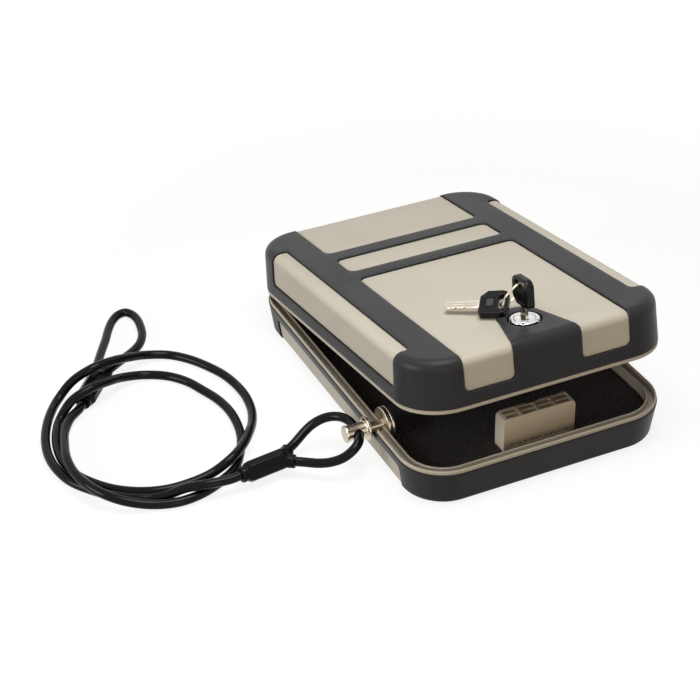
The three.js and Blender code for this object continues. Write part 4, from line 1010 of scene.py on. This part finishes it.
def panel(name, chart, loop, turn, body):
    """Tan panel in a window: the window's loop drawn in by the gap, its face a little below the jacket's."""
    sizes = bpy.context.scene.safe_sizes
    rim = edge_steps(sizes.panel_round / MM, 0.0, 2.6, PANEL_DEPTH)
    made = solid(name, slab([shifted(loop, sizes.panel_gap / MM)], rim, chart, chart_points(chart), turn))
    dressed(made, "tan", body)


def jacket(name, chart, loops, turn, body, node_name):
    """Dark skin: one slab over a chart, from a little below the chart's face to the skin's depth."""
    rim = edge_steps(bpy.context.scene.safe_sizes.jacket_round / MM, 0.2, JACKET)
    made = solid(name, slab(loops, rim, chart, chart_points(chart), turn))
    dressed(made, "dark", body, (node_name,))


# Base.

def build_base_jacket():
    """Dark skin of the base with its side windows and screw holes, and its top edge cut down at the hinge and
    the pin."""
    chart = base_chart()
    top = chart.at_height(BASE_TOP)
    x = chart.half_x + top
    y = chart.half_y + top
    dip = y - (top - chart.at_height(16.92))
    pin_dip = x - (top - chart.at_height(PIN_NOTCH_LOW))
    radius = chart.corner + top
    corners = [(-x, -y), (x, -y), (x, y), (45.5, y), (45.5, dip), (-45.5, dip), (-45.5, y), (-x, y),
               (-x, PIN_Y + PIN_NOTCH), (-pin_dip, PIN_Y + PIN_NOTCH), (-pin_dip, PIN_Y - PIN_NOTCH),
               (-x, PIN_Y - PIN_NOTCH)]
    radii = [radius, radius, radius, 0.8, 1.2, 1.2, 0.8, radius, 0.8, 1.2, 1.2, 0.8]
    holes = [base_window(chart, side)[::-1] for side in (-1, 1)]
    holes += [circle(3.7, place, -106.5)[::-1] for place in (-16.0, 16.0)]
    outer = rounded(corners, radii, 1.6, 1.2)
    jacket("base_jacket_skin", chart, [outer, *holes], stay, "base", "base_jacket")


def build_base_body():
    """Tan tray with its double-lipped rim, its two side panels and the hinge's outer knuckles."""
    lip = bpy.context.scene.safe_sizes.lip_round / MM
    skin_top = BASE_TOP + 0.3
    upper = [[30.0, 4.4], [9.7, 4.4], [7.3, 6.8], [7.3, 24.4], [6.0, 24.4], [6.0, 20.6], [1.8, 20.6],
             [1.8, 25.5], [0.6, 25.5], [0.6, skin_top]]
    radii = [0.0, 1.0, 1.0, lip, lip, 1.1, 1.1, lip, lip, 0.0]
    profile = np.vstack([rounded(upper, radii, arc_pitch=0.16, closed=False),
                         base_skin(BODY_DEPTH, skin_top)[::-1], [[30.0, BODY_DEPTH]]])
    made = solid("base_tray", carried(profile))
    cut(made, [
        box_shape(-WIDTH, 3.9 - WIDTH / 2, PIN_Y - PIN_NOTCH, PIN_Y + PIN_NOTCH, PIN_NOTCH_LOW, 30.0),
        rod(3.8, -WIDTH / 2, -80.0, 48, "x", (PIN_Y, PIN_Z)),
        box_shape(-WIDTH / 2, -80.0, PIN_Y - 3.8, PIN_Y + 3.8, PIN_Z, 30.0),
        rod(3.35, -KNUCKLE_GAP, KNUCKLE_GAP, 48, "x", HINGE),
        box_shape(-KNUCKLE_GAP, KNUCKLE_GAP, 122.45, 140.0, HINGE_Z, 30.0),
    ])
    dressed(made, "tan", "base", ("base_shell",), 28)
    chart = base_chart()
    for side, name in ((-1, "left"), (1, "right")):
        panel(f"base_panel_{name}", chart, base_window(chart, side), stay, "base")
    for name, x0, x1 in (("left", -44.0, -KNUCKLE_GAP), ("right", KNUCKLE_GAP, 44.0)):
        knuckle = solid(f"base_knuckle_{name}", rod(KNUCKLE, x0, x1, 56, "x", HINGE, 0.4))
        dressed(knuckle, "tan", "base")


def foam_wave(amount):
    """Uneven foam: each point moves by sums of slow waves over the plan, no more than the amount."""

    def wave(points):
        x = points[:, 0]
        y = points[:, 1]
        rise = (np.sin(x / 17.0 + 0.6) * np.cos(y / 23.0) + 0.6 * np.sin(x / 7.0 - y / 9.0)
                + 0.4 * np.cos(x / 3.1 + y / 4.3))
        waved = points.copy()
        waved[:, 2] += amount * rise / 2.0
        waved[:, 0] += amount * (0.5 * np.sin(y / 3.7) * np.sin(y / 11.0 + x / 13.0))
        waved[:, 1] += amount * 0.5 * np.sin(x / 4.1) * np.sin(x / 12.0)
        return waved

    return wave


def foam_pad(name, loops, depth, chart, inner, turn, amount, body, node_name):
    """Foam pad: a slab between loops whose faces wave a little."""
    shape = slab(loops, edge_steps(1.1, 0.0, depth), chart, inner, turn, foam_wave(amount))
    made = dressed(solid(name, shape), "foam", body, (node_name,), 60)


def build_base_foam():
    """Foam floor of the base, cut out for the latch block and the pin's inner disc."""
    setback = 7.7
    disc_room = 11.6
    disc_inner = -75.9
    half_x = WIDTH / 2 - setback
    half_y = DEPTH / 2 - setback
    corner = CORNER - setback
    corners = [(-half_x, -half_y), (half_x, -half_y), (half_x, half_y), (-half_x, half_y),
               (-half_x, PIN_Y + disc_room), (disc_inner, PIN_Y + disc_room),
               (disc_inner, PIN_Y - disc_room), (-half_x, PIN_Y - disc_room)]
    radii = [corner, corner, corner, corner, 1.6, 1.6, 1.6, 1.6]
    outer = rounded(corners, radii, 1.5, 1.5)
    block = rounded(rectangle(-25.4, 25.4, -112.4, -100.6), 1.0, 1.5)[::-1]
    inner = grid(-half_x, half_x, -half_y, half_y, 2.6)
    foam_pad("base_foam_pad", [outer, block], 12.8, Flat(17.95), inner, stay, 0.22, "base", "base_foam")


def build_latch_block():
    """Ribbed latch block: a chamfered bar with open pockets in its top, recesses along its foot, and the
    slot and channel that the lock's cam and tail move in. The bar is an (x, z) outline from front to rear."""
    section = np.array([(-25, 4.7), (25, 4.7), (25, 37.6), (24.04, 39.84), (21.8, 40.8), (-21.8, 40.8),
                        (-24.04, 39.84), (-25, 37.6)])
    count = len(section)
    points = np.vstack([np.insert(section, 1, y, axis=1) for y in (-112.0, -101.0)])
    number = np.arange(count)
    made = solid("latch_block_ribbed", (points, [
        ring_quads(2, count)[:, [0, 3, 2, 1]], number[None], (number[::-1] + count)[None]]))
    soften(made, 0.45, 3, 40)
    pockets = [box_shape(x - 4.8, x + 4.8, y - 1.6, y + 1.6, 36.8, 42.0)
               for y in (-109.3, -104.6) for x in (-17.4, -5.8, 5.8, 17.4)]
    recesses = [box_shape(x - 1.5, x + 1.5, -113.0, -110.0, 19.0, 21.4) for x in np.arange(-4, 5) * 4.6]
    slot = box_shape(-12.0, 12.0, -107.4, -100.0, 30.1, 35.1)
    channel = box_shape(-4.6, 4.6, -102.6, -100.0, 27.8, 42.0)
    cut(made, [*pockets, *recesses, slot, channel])
    soften(made, 0.1, 2, 60)
    # The block takes the paler tan copy: painted light on what is the same tan plastic.
    dressed(made, "block", "base", ("latch_block",), 40)


def build_cable_pin():
    """Turned steel pin: an end flange, a cross-drilled shank, a collar, a thin neck and a grooved inner
    disc."""
    corners = [(0, -106.8), (5.5, -106.8), (5.5, -105.2), (4.9, -105.2), (4.9, -92.9), (7.6, -92.9),
               (7.6, -91.4), (3.0, -91.4), (3.0, -81.3), (10.8, -81.3), (10.8, -79.9), (7.4, -79.9),
               (7.4, -78.5), (10.8, -78.5), (10.8, -77.1), (0, -77.1)]
    radii = [0, 0.5, 0.3, 0.2, 0.5, 0.45, 0.45, 0.5, 0.6, 0.4, 0.4, 0.2, 0.2, 0.4, 0.4, 0]
    profile = rounded(corners, radii, arc_pitch=0.14, closed=False)
    made = solid("cable_pin_turned", lathe(profile, 96, "x", (PIN_Y, PIN_Z)))
    turn = math.radians(8.0)

    def through_shank(points):
        x, y, z = points.T
        return np.column_stack([-98.6 + x * math.cos(turn) + z * math.sin(turn),
                                PIN_Y - x * math.sin(turn) + z * math.cos(turn), PIN_Z + y])

    cut(made, [moved(rod(3.7, -20, 20, 64, "z"), through_shank)])
    dressed(made, "nickel", "base", ("cable_pin",), 30)


# Lid.

def build_lid_jacket():
    """Dark skin of the lid: rails, crossbars, corner bumpers and the lock's tongue in one slab, and the floor
    of the round recess that the lock sits in, finished near black as painted shade."""
    chart = lid_chart()
    outer = chart.loop(chart.at_height(STRIP_TOP + 0.3), 1.6)
    holes = [loop[::-1] for loop in lid_windows(chart).values()]
    holes.append(circle(10.9, 0.0, LOCK_Y, 0.5)[::-1])
    jacket("lid_jacket_skin", chart, [outer, *holes], lid_turn, "lid", "lid_jacket")
    ring = [(9.5, LID_TOP - 1.6), (9.5, LID_TOP - 1.0), (10.95, LID_TOP - 1.0), (10.95, LID_TOP - 1.6)]
    floor = solid("lock_recess_floor", moved(lathe(ring, 72, "z", (0.0, LOCK_Y), True), lid_turn))
    # Near-black finish on the recess floor: painted shade of the deep recess.
    dressed(floor, "recess", "lid")


def build_lid_body():
    """Tan shell of the lid with its rim strip, its locating rib, its five panels and the hinge's middle
    knuckle."""
    lip = bpy.context.scene.safe_sizes.lip_round / MM
    skin = lid_skin(BODY_DEPTH, STRIP_TOP)[::-1]
    lower = [[30.0, 54.5], [8.7, 54.5], [6.3, 52.0], [5.0, LID_RIM], [0.4, LID_RIM], [0.4, STRIP_TOP],
             [float(skin[0, 0]), STRIP_TOP]]
    radii = [0.0, 1.2, 1.2, 0.5, 0.75, lip, 0.0]
    profile = np.vstack([rounded(lower, radii, arc_pitch=0.16, closed=False), skin[1:],
                         [[30.0, LID_TOP - BODY_DEPTH]]])
    made = solid("lid_tray", moved(carried(profile), lid_turn))
    cut(made, [moved(rod(8.5, 48, 66, 64, "z", (0.0, LOCK_Y)), lid_turn)])
    dressed(made, "tan", "lid", ("lid_shell",), 28)
    corners = [[3.4, 27.0], [3.4, 24.9], [4.5, 24.9], [4.5, 27.0]]
    section = rounded(corners, [0, 0.35, 0.35, 0], arc_pitch=0.15)
    rib = solid("lid_rib", moved(carried(section, True), lid_turn))
    rear_room = box_shape(-WIDTH, WIDTH, 92.0, DEPTH, 20.0, 40.0)
    pin_room = box_shape(-WIDTH, -WIDTH / 4, PIN_Y - PIN_NOTCH, PIN_Y + PIN_NOTCH, 20.0, 40.0)
    cut(rib, [moved(rear_room, lid_turn), moved(pin_room, lid_turn)])
    dressed(rib, "tan", "lid", (), 28)
    chart = lid_chart()
    for name, loop in lid_windows(chart).items():
        panel(f"lid_panel_{name}", chart, loop, lid_turn, "lid")
    knuckle = solid("lid_knuckle", moved(rod(KNUCKLE, -30, 30, 56, "x", HINGE, 0.4), lid_turn))
    arm = box_shape(-30.0, 30.0, 122.9, 126.6, HINGE_Z, LID_RIM + 1.0)
    cut(knuckle, [moved(arm, lid_turn)], "UNION")
    dressed(knuckle, "tan", "lid")


def build_lid_foam():
    """Foam lining under the lid's roof, with a round hole for the lock."""
    setback = 6.9
    half_x = WIDTH / 2 - setback
    half_y = DEPTH / 2 - setback
    outer = rounded(rectangle(-half_x, half_x, -half_y, half_y), CORNER - setback, 2.0, 1.5)
    hole = circle(13.4, 0.0, LOCK_Y, 1.2)[::-1]
    inner = grid(-half_x, half_x, -half_y, half_y, 3.4)
    foam_pad("lid_foam_pad", [outer, hole], 5.6, Flat(48.6, -1), inner, lid_turn, 0.15, "lid", "lid_foam")


def build_lock():
    """Lock: a chrome housing with a notched rim, and the turning plug with its keyway and tail."""
    corners = [(6.3, 43.4), (8.2, 43.4), (8.2, 57.8), (9.2, 57.8), (9.2, 59.9), (7.0, 59.9), (7.0, 58.3),
               (6.3, 58.3)]
    radii = [0, 0.3, 0, 0.1, 0.55, 0.25, 0, 0]
    profile = rounded(corners, radii, arc_pitch=0.1)
    housing = solid("lock_housing_chrome", moved(lathe(profile, 120, "z", (0.0, LOCK_Y), True), lid_turn))
    notches = []
    for angle in (-125.0, -55.0):
        turn = math.radians(angle)
        points, faces = box_shape(7.9, 10.0, -0.75, 0.75, 58.9, 62.0)
        x = points[:, 0] * math.cos(turn) - points[:, 1] * math.sin(turn)
        y = points[:, 0] * math.sin(turn) + points[:, 1] * math.cos(turn) + LOCK_Y
        notches.append((lid_turn(np.column_stack([x, y, points[:, 2]])), faces))
    cut(housing, notches)
    dressed(housing, "chrome", "lid", ("lock_housing",), 30)
    corners = [(0, 28.4), (2.4, 28.4), (2.4, 33.9), (3.5, 33.9), (3.5, 35.5), (2.4, 35.5), (2.4, 42.4),
               (6.0, 42.4), (6.0, 58.6), (6.7, 58.6), (6.7, 59.9), (0, 59.9)]
    radii = [0, 0.3, 0, 0.2, 0.2, 0, 0, 0.3, 0, 0.1, 0.35, 0]
    profile = rounded(corners, radii, arc_pitch=0.1, closed=False)
    plug = solid("lock_plug_turned", moved(lathe(profile, 96, "z", (0.0, LOCK_Y)), lid_turn))
    way = box_shape(-1.35, 1.35, LOCK_Y - 3.75, LOCK_Y + 3.75, 44.2, 62.0)
    chamber = box_shape(-2.9, 2.9, LOCK_Y - 4.6, LOCK_Y + 4.6, 44.2, 57.3)
    cut(plug, [moved(way, lid_turn), moved(chamber, lid_turn)])
    dressed(plug, "chrome", "plug", ("lock_plug",), 30)


# Keys. A key's own frame: x from tip to ring end, y across, z through the grip. The places are in the closed
# lid's frame, in millimetres and degrees.
KEY_A_HEIGHT = 77.3
KEY_B_CENTRE = (-10.7, -80.8, 65.3)
KEY_B_TURNS = (21.4, -4.1, -39.2)
RING_CENTRE = (-0.5, -87.8, 72.8)
RING_NORMAL = (0.3602, -0.7304, -0.5803)
RING_RADIUS = 11.45
RING_TURNS = 1.97
WIRE_LIFT = 0.37

def key_a_place(points):
    """Key in the lock: its length stands square to the lid, over the lock."""
    return lid_turn(np.column_stack([-points[:, 2], LOCK_Y + points[:, 1], KEY_A_HEIGHT + points[:, 0]]))


def key_b_place(points):
    """Key that hangs from the ring: turned by three angles and moved to its centre."""
    turn = np.array(Euler([math.radians(angle) for angle in KEY_B_TURNS], "XYZ").to_matrix())
    return lid_turn(points @ turn.T + KEY_B_CENTRE)


def key_loop(corners, radius, pitch=0.8, arc_pitch=0.2):
    """Rounded loop of a key's detail."""
    return rounded(corners, radius, pitch, arc_pitch)


def key_head(name, place, body, node_name, badge):
    """Moulded grip: a core, a raised border round a shallow panel on both sides, a slot for the ring, and a
    plain badge in each panel."""
    edge = key_loop([(-9, -9.75), (9, -9.75), (9, 9.75), (-4.6, 9.75), (-9, 5.35)], [2.5, 5.0, 5.0, 1.4, 1.4],
                    1.0, 0.3)
    slot = key_loop(rectangle(2.7, 6.5, -6.0, 6.0), 1.8, 1.0, 0.25)[::-1]
    window = key_loop(rectangle(-6.8, 1.1, -5.2, 5.2), 1.0, 1.0, 0.25)[::-1]
    inner = grid(-9, 9, -9.75, 9.75, 1.6)
    shapes = [slab([edge, slot], edge_steps(0.9, 0.9, 3.9, 0.0, 5), Flat(1.95), inner, place)]
    for high, radii in ((2.3, (0.65, 0.0)), (-1.5, (0.0, 0.65))):
        rim = edge_steps(*radii, 0.8, 0.0, 5)
        shapes.append(slab([edge, slot, window], rim, Flat(high), inner, place))
    if badge == "plate":
        around = key_loop(rectangle(-6.0, 0.6, -4.3, 4.3), 0.7)
        within = key_loop(rectangle(-5.2, 0.0, -3.4, 3.4), 0.5)[::-1]
        shapes += [slab([around, within], edge_steps(0.15, 0.15, 0.5, 0.0, 3), Flat(top), turn=place)
                   for top in (2.3, -1.8)]
        loop = key_loop(rectangle(-4.7, -0.5, -2.9, 2.9), 0.4)
    else:
        loop = key_loop([(-6.0, 0.0), (-2.8, -4.4), (0.5, -4.4), (0.5, 4.4), (-2.8, 4.4)], 0.6)
    made = solid(name, joined(*shapes))
    cut(made, [moved(box_shape(-10.0, -2.2, -2.9, 2.9, -1.2, 1.2), place)])
    dressed(made, "grip", body, (node_name,), 34)
    pads = [slab([loop], edge_steps(0.12, 0.12, 0.3, 0.0, 3), Flat(top), grid(-6, 1, -5, 5, 1.5), place)
            for top in (2.15, -1.85)]
    pad = solid(f"{name}_badge", joined(*pads))
    dressed(pad, "badge" if badge == "plate" else "grip", body, (), 34)


def key_blade(name, place, body, node_name):
    """Flat blade with cuts in both edges, a tang in the grip, and two milled grooves along each side."""
    tip = -31.0
    upper = [(-28.8, 3.3)]
    for start, depth in ((4.2, 0.9), (7.0, 1.5), (9.8, 0.7), (12.6, 1.2)):
        upper += [(tip + start - 1.1, 3.3), (tip + start, 3.3 - depth), (tip + start + 1.1, 3.3)]
    upper += [(-9.3, 3.3), (-9.3, 2.6), (-2.5, 2.6)]
    lower = [(x, -y) for x, y in upper]
    loop = key_loop([(tip, 1.1), (tip, -1.1), *lower, *upper[::-1]], 0.22, 1.2, 0.12)
    made = solid(name, slab([loop], edge_steps(0.12, 0.12, 1.8, 0.0, 3), Flat(0.9), turn=place))
    cut(made, [moved(box_shape(tip - 2, -10.5, y0, y1, z0, z1), place)
               for y0, y1 in ((-1.5, -0.6), (0.55, 1.25)) for z0, z1 in ((0.5, 1.6), (-1.6, -0.5))])
    dressed(made, "blade", body, (node_name,), 30)


def build_keys():
    """Two keys and the split ring that joins them: a wire that runs round twice and changes level half
    way."""
    for key, place, badge in (("key_a", key_a_place, "shield"), ("key_b", key_b_place, "plate")):
        key_head(f"{key}_grip", place, key, f"{key}_head", badge)
        key_blade(f"{key}_steel", place, key, f"{key}_blade")
    normal = np.array(RING_NORMAL)
    normal /= np.linalg.norm(normal)
    first = np.cross(normal, (0, 0, 1))
    first /= np.linalg.norm(first)
    second = np.cross(normal, first)
    turn = np.linspace(0, 2 * math.pi * RING_TURNS, 220)
    lift = WIRE_LIFT * np.tanh((turn - turn[-1] / 2) * 1.6)
    circled = np.cos(turn)[:, None] * first + np.sin(turn)[:, None] * second
    line = np.array(RING_CENTRE) + RING_RADIUS * circled + lift[:, None] * normal
    made = solid("split_ring", moved(tube(line, 14, oval(0.44, 0.36), tuple(normal)), lid_turn))
    dressed(made, "nickel", "ring", ("key_ring",), 50)


# Stage.

def seen_rays(tree):
    """Light paths: the camera's rays, and those of the camera, reflections and transmission together."""
    seen = node(tree, "ShaderNodeLightPath", {}).outputs
    either = worked(tree, "MAXIMUM", seen["Is Camera Ray"], seen["Is Glossy Ray"])
    return seen["Is Camera Ray"], worked(tree, "MAXIMUM", either, seen["Is Transmission Ray"])


def surfaced(tree, share, first, second, leave):
    """Output of a tree: a mix of two shaders by a share."""
    mixed = node(tree, "ShaderNodeMixShader", {0: share, 1: first.outputs[0], 2: second.outputs[0]})
    node(tree, leave, {"Surface": mixed.outputs[0]})


def build_floor():
    """White floor that keeps a soft shadow near the object and is plain white further out."""
    mesh = bpy.data.meshes.new("floor")
    corners = [(*corner, -0.0003) for corner in rectangle(-6, 6, -6, 6)]
    mesh.from_pydata(corners, [], [(0, 1, 2, 3)])
    floor = bpy.data.objects.new("floor", mesh)
    bpy.context.scene.collection.objects.link(floor)
    paint = bpy.data.materials.new("white_floor")
    paint.use_nodes = True
    tree = paint.node_tree
    tree.nodes.clear()
    camera_ray, any_ray = seen_rays(tree)
    shade = blended(tree, camera_ray, (0.42, 0.38, 0.33, 1), (0.95, 0.95, 0.95, 1))
    matt = node(tree, "ShaderNodeBsdfDiffuse", {"Color": shade})
    glow = node(tree, "ShaderNodeEmission", {"Color": (1, 1, 1, 1), "Strength": 1.08})
    where = node(tree, "ShaderNodeTexCoord", {}).outputs["Object"]
    far = node(tree, "ShaderNodeVectorMath", {0: where}, operation="LENGTH").outputs["Value"]
    own = spread(tree, far, 0.29, 0.62, bpy.context.scene.safe_stage.floor_glow, 1.0)
    surfaced(tree, worked(tree, "MULTIPLY", any_ray, own), matt, glow, "ShaderNodeOutputMaterial")
    mesh.materials.append(paint)


def build_stage():
    """Floor, a faint warm sky that looks white, a broad lamp above, one at the left and a low warm one in
    front."""
    build_floor()
    look = bpy.context.scene.safe_stage
    sky = bpy.data.worlds.new("pale_sky")
    sky.use_nodes = True
    bpy.context.scene.world = sky
    tree = sky.node_tree
    tree.nodes.clear()
    _, any_ray = seen_rays(tree)
    dim = node(tree, "ShaderNodeBackground", {"Color": (1.0, 0.85, 0.7, 1), "Strength": look.sky})
    bright = node(tree, "ShaderNodeBackground", {"Color": (1, 1, 1, 1), "Strength": 1.0})
    surfaced(tree, any_ray, dim, bright, "ShaderNodeOutputWorld")

    # Each lamp's name, place, aim, size, power and colour.
    lamps = (
        ("lamp_above", (-0.05, -0.08, 0.6), (-0.02, -0.03, 0.03), 0.4, look.lamp_above, (1.0, 1.0, 1.0)),
        ("lamp_left", (-1.3, 0.0, 0.42), (0.0, 0.0, 0.05), 0.7, look.lamp_left, (1.0, 1.0, 1.0)),
        ("lamp_front", (-0.2, -1.5, 0.22), (0.0, 0.0, 0.04), 0.7, look.lamp_front, (1.0, 0.8, 0.6)),
    )
    for name, place, aim, size, power, colour in lamps:
        light = bpy.data.lights.new(name, "AREA")
        light.shape = "DISK"
        light.size = size
        light.energy = power
        light.color = colour
        made = bpy.data.objects.new(name, light)
        way = (Vector(aim) - Vector(place)).normalized()
        made.matrix_world = Matrix.Translation(place) @ way.to_track_quat("-Z", "Y").to_matrix().to_4x4()
        bpy.context.scene.collection.objects.link(made)
    bpy.context.scene.view_settings.view_transform = "Standard"


# Sizes, colours and lamps that a user would change.

class SafeSizes(bpy.types.PropertyGroup):
    """Sizes of edges and gaps."""

    jacket_round: FloatProperty(
        name="Jacket Edge", description="Radius of the dark jacket's edges at its windows",
        default=0.0005, min=0.0001, max=0.0007, unit="LENGTH", precision=5)
    panel_round: FloatProperty(
        name="Panel Edge", description="Radius of the tan panels' edges",
        default=0.0004, min=0.0001, max=0.001, unit="LENGTH", precision=5)
    panel_gap: FloatProperty(
        name="Panel Gap", description="Open line between a panel and the jacket round it",
        default=0.0006, min=0.0002, max=0.001, unit="LENGTH", precision=5)
    lip_round: FloatProperty(
        name="Lip Edge", description="Radius of the rim's lips",
        default=0.00045, min=0.0001, max=0.00055, unit="LENGTH", precision=5)


class SafeColours(bpy.types.PropertyGroup):
    """Colours of the main finishes."""

    tan: FloatVectorProperty(
        name="Tan Shell", description="Colour of the tan mouldings",
        default=tone(201, 194, 178), subtype="COLOR", size=3, min=0.0, max=1.0)
    dark: FloatVectorProperty(
        name="Dark Jacket", description="Colour of the dark jackets",
        default=tone(45, 45, 47), subtype="COLOR", size=3, min=0.0, max=1.0)
    foam: FloatVectorProperty(
        name="Foam", description="Colour of the foam linings",
        default=tone(50, 47, 48), subtype="COLOR", size=3, min=0.0, max=1.0)
    vinyl: FloatVectorProperty(
        name="Cable Cover", description="Colour of the cable's vinyl cover",
        default=tone(11, 11, 12), subtype="COLOR", size=3, min=0.0, max=1.0)


class SafeStage(bpy.types.PropertyGroup):
    """Strengths of the lamps, the sky and the floor."""

    lamp_above: FloatProperty(
        name="Lamp Above", description="Power of the broad lamp above",
        default=2.6, min=0.0, unit="POWER")
    lamp_left: FloatProperty(
        name="Lamp at Left", description="Power of the lamp at the left",
        default=7.5, min=0.0, unit="POWER")
    lamp_front: FloatProperty(
        name="Lamp in Front", description="Power of the low lamp in front",
        default=3.0, min=0.0, unit="POWER")
    sky: FloatProperty(
        name="Sky", description="Strength of the sky that lights the object",
        default=0.14, min=0.0, max=2.0, subtype="FACTOR")
    floor_glow: FloatProperty(
        name="Floor White", description="Share of plain white in the floor as the camera sees it",
        default=0.8, min=0.0, max=1.0, subtype="FACTOR")


# Operators.

class SAFE_OT_camera(bpy.types.Operator):
    """Add the camera"""

    bl_idname = "safe.camera"
    bl_label = "Camera"

    def execute(self, context):
        set_camera()
        return {"FINISHED"}


class SAFE_OT_cables(bpy.types.Operator):
    """Lay the security cable, its two eyes and their ferrules"""

    bl_idname = "safe.cables"
    bl_label = "Cables and Ferrules"

    def execute(self, context):
        lay_cables()
        return {"FINISHED"}


class SAFE_OT_base_jacket(bpy.types.Operator):
    """Build the base's dark jacket"""

    bl_idname = "safe.base_jacket"
    bl_label = "Base Jacket"

    def execute(self, context):
        build_base_jacket()
        return {"FINISHED"}


class SAFE_OT_base_body(bpy.types.Operator):
    """Build the base's tan tray, panels and knuckles"""

    bl_idname = "safe.base_body"
    bl_label = "Base Tray and Panels"

    def execute(self, context):
        build_base_body()
        return {"FINISHED"}


class SAFE_OT_foam(bpy.types.Operator):
    """Build the two foam linings"""

    bl_idname = "safe.foam"
    bl_label = "Foam Linings"

    def execute(self, context):
        build_base_foam()
        build_lid_foam()
        return {"FINISHED"}


class SAFE_OT_latch_block(bpy.types.Operator):
    """Build the ribbed latch block"""

    bl_idname = "safe.latch_block"
    bl_label = "Latch Block"

    def execute(self, context):
        build_latch_block()
        return {"FINISHED"}


class SAFE_OT_cable_pin(bpy.types.Operator):
    """Build the turned pin that holds the cable"""

    bl_idname = "safe.cable_pin"
    bl_label = "Cable Pin"

    def execute(self, context):
        build_cable_pin()
        return {"FINISHED"}


class SAFE_OT_lid_jacket(bpy.types.Operator):
    """Build the lid's dark jacket and its lock recess"""

    bl_idname = "safe.lid_jacket"
    bl_label = "Lid Jacket"

    def execute(self, context):
        build_lid_jacket()
        return {"FINISHED"}


class SAFE_OT_lid_body(bpy.types.Operator):
    """Build the lid's tan tray, rib, panels and knuckle"""

    bl_idname = "safe.lid_body"
    bl_label = "Lid Tray and Panels"

    def execute(self, context):
        build_lid_body()
        return {"FINISHED"}


class SAFE_OT_lock(bpy.types.Operator):
    """Build the lock's housing and plug"""

    bl_idname = "safe.lock"
    bl_label = "Lock"

    def execute(self, context):
        build_lock()
        return {"FINISHED"}


class SAFE_OT_keys(bpy.types.Operator):
    """Build the two keys and the split ring"""

    bl_idname = "safe.keys"
    bl_label = "Keys and Ring"

    def execute(self, context):
        build_keys()
        return {"FINISHED"}


class SAFE_OT_hardware(bpy.types.Operator):
    """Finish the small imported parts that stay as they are"""

    bl_idname = "safe.hardware"
    bl_label = "Small Hardware"

    def execute(self, context):
        zinc_parts = ("latch_screw_left", "latch_screw_right", "hinge_pin", "lock_nut", "lock_cam", "cam_nut")
        carried_over(zinc_parts, "zinc")
        carried_over([f"lock_wafer_{number}" for number in range(1, 5)], "brass")
        return {"FINISHED"}


class SAFE_OT_stage(bpy.types.Operator):
    """Add the floor, the sky and the lamps"""

    bl_idname = "safe.stage"
    bl_label = "Stage"

    def execute(self, context):
        build_stage()
        return {"FINISHED"}


OPERATORS = (
    SAFE_OT_camera, SAFE_OT_cables, SAFE_OT_base_jacket, SAFE_OT_base_body, SAFE_OT_foam, SAFE_OT_latch_block,
    SAFE_OT_cable_pin, SAFE_OT_lid_jacket, SAFE_OT_lid_body, SAFE_OT_lock, SAFE_OT_keys, SAFE_OT_hardware,
    SAFE_OT_stage,
)


class SAFE_PT_sidebar(bpy.types.Panel):
    """Sidebar panel with the sizes, colours, lamps and builders"""

    bl_idname = "SAFE_PT_sidebar"
    bl_label = "Portable Car Safe"
    bl_space_type = "VIEW_3D"
    bl_region_type = "UI"
    bl_category = "Car Safe"

    def draw(self, context):
        scene = context.scene
        for group in (scene.safe_sizes, scene.safe_colours, scene.safe_stage):
            column = self.layout.column(align=True)
            for name in group.__annotations__:
                column.prop(group, name)
        column = self.layout.column(align=True)
        for operator in OPERATORS:
            column.operator(operator.bl_idname)


CLASSES = (SafeSizes, SafeColours, SafeStage, *OPERATORS, SAFE_PT_sidebar)


def register():
    """Register the classes and hang the groups on the scene."""
    for part in CLASSES:
        bpy.utils.register_class(part)
    bpy.types.Scene.safe_sizes = PointerProperty(type=SafeSizes)
    bpy.types.Scene.safe_colours = PointerProperty(type=SafeColours)
    bpy.types.Scene.safe_stage = PointerProperty(type=SafeStage)


def unregister():
    """Take the groups off the scene and unregister the classes."""
    del bpy.types.Scene.safe_stage
    del bpy.types.Scene.safe_colours
    del bpy.types.Scene.safe_sizes
    for part in reversed(CLASSES):
        bpy.utils.unregister_class(part)


def main():
    """Register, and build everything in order."""
    register()
    for operator in OPERATORS:
        group, name = operator.bl_idname.split(".")
        getattr(getattr(bpy.ops, group), name)()


if __name__ == "__main__":
    main()
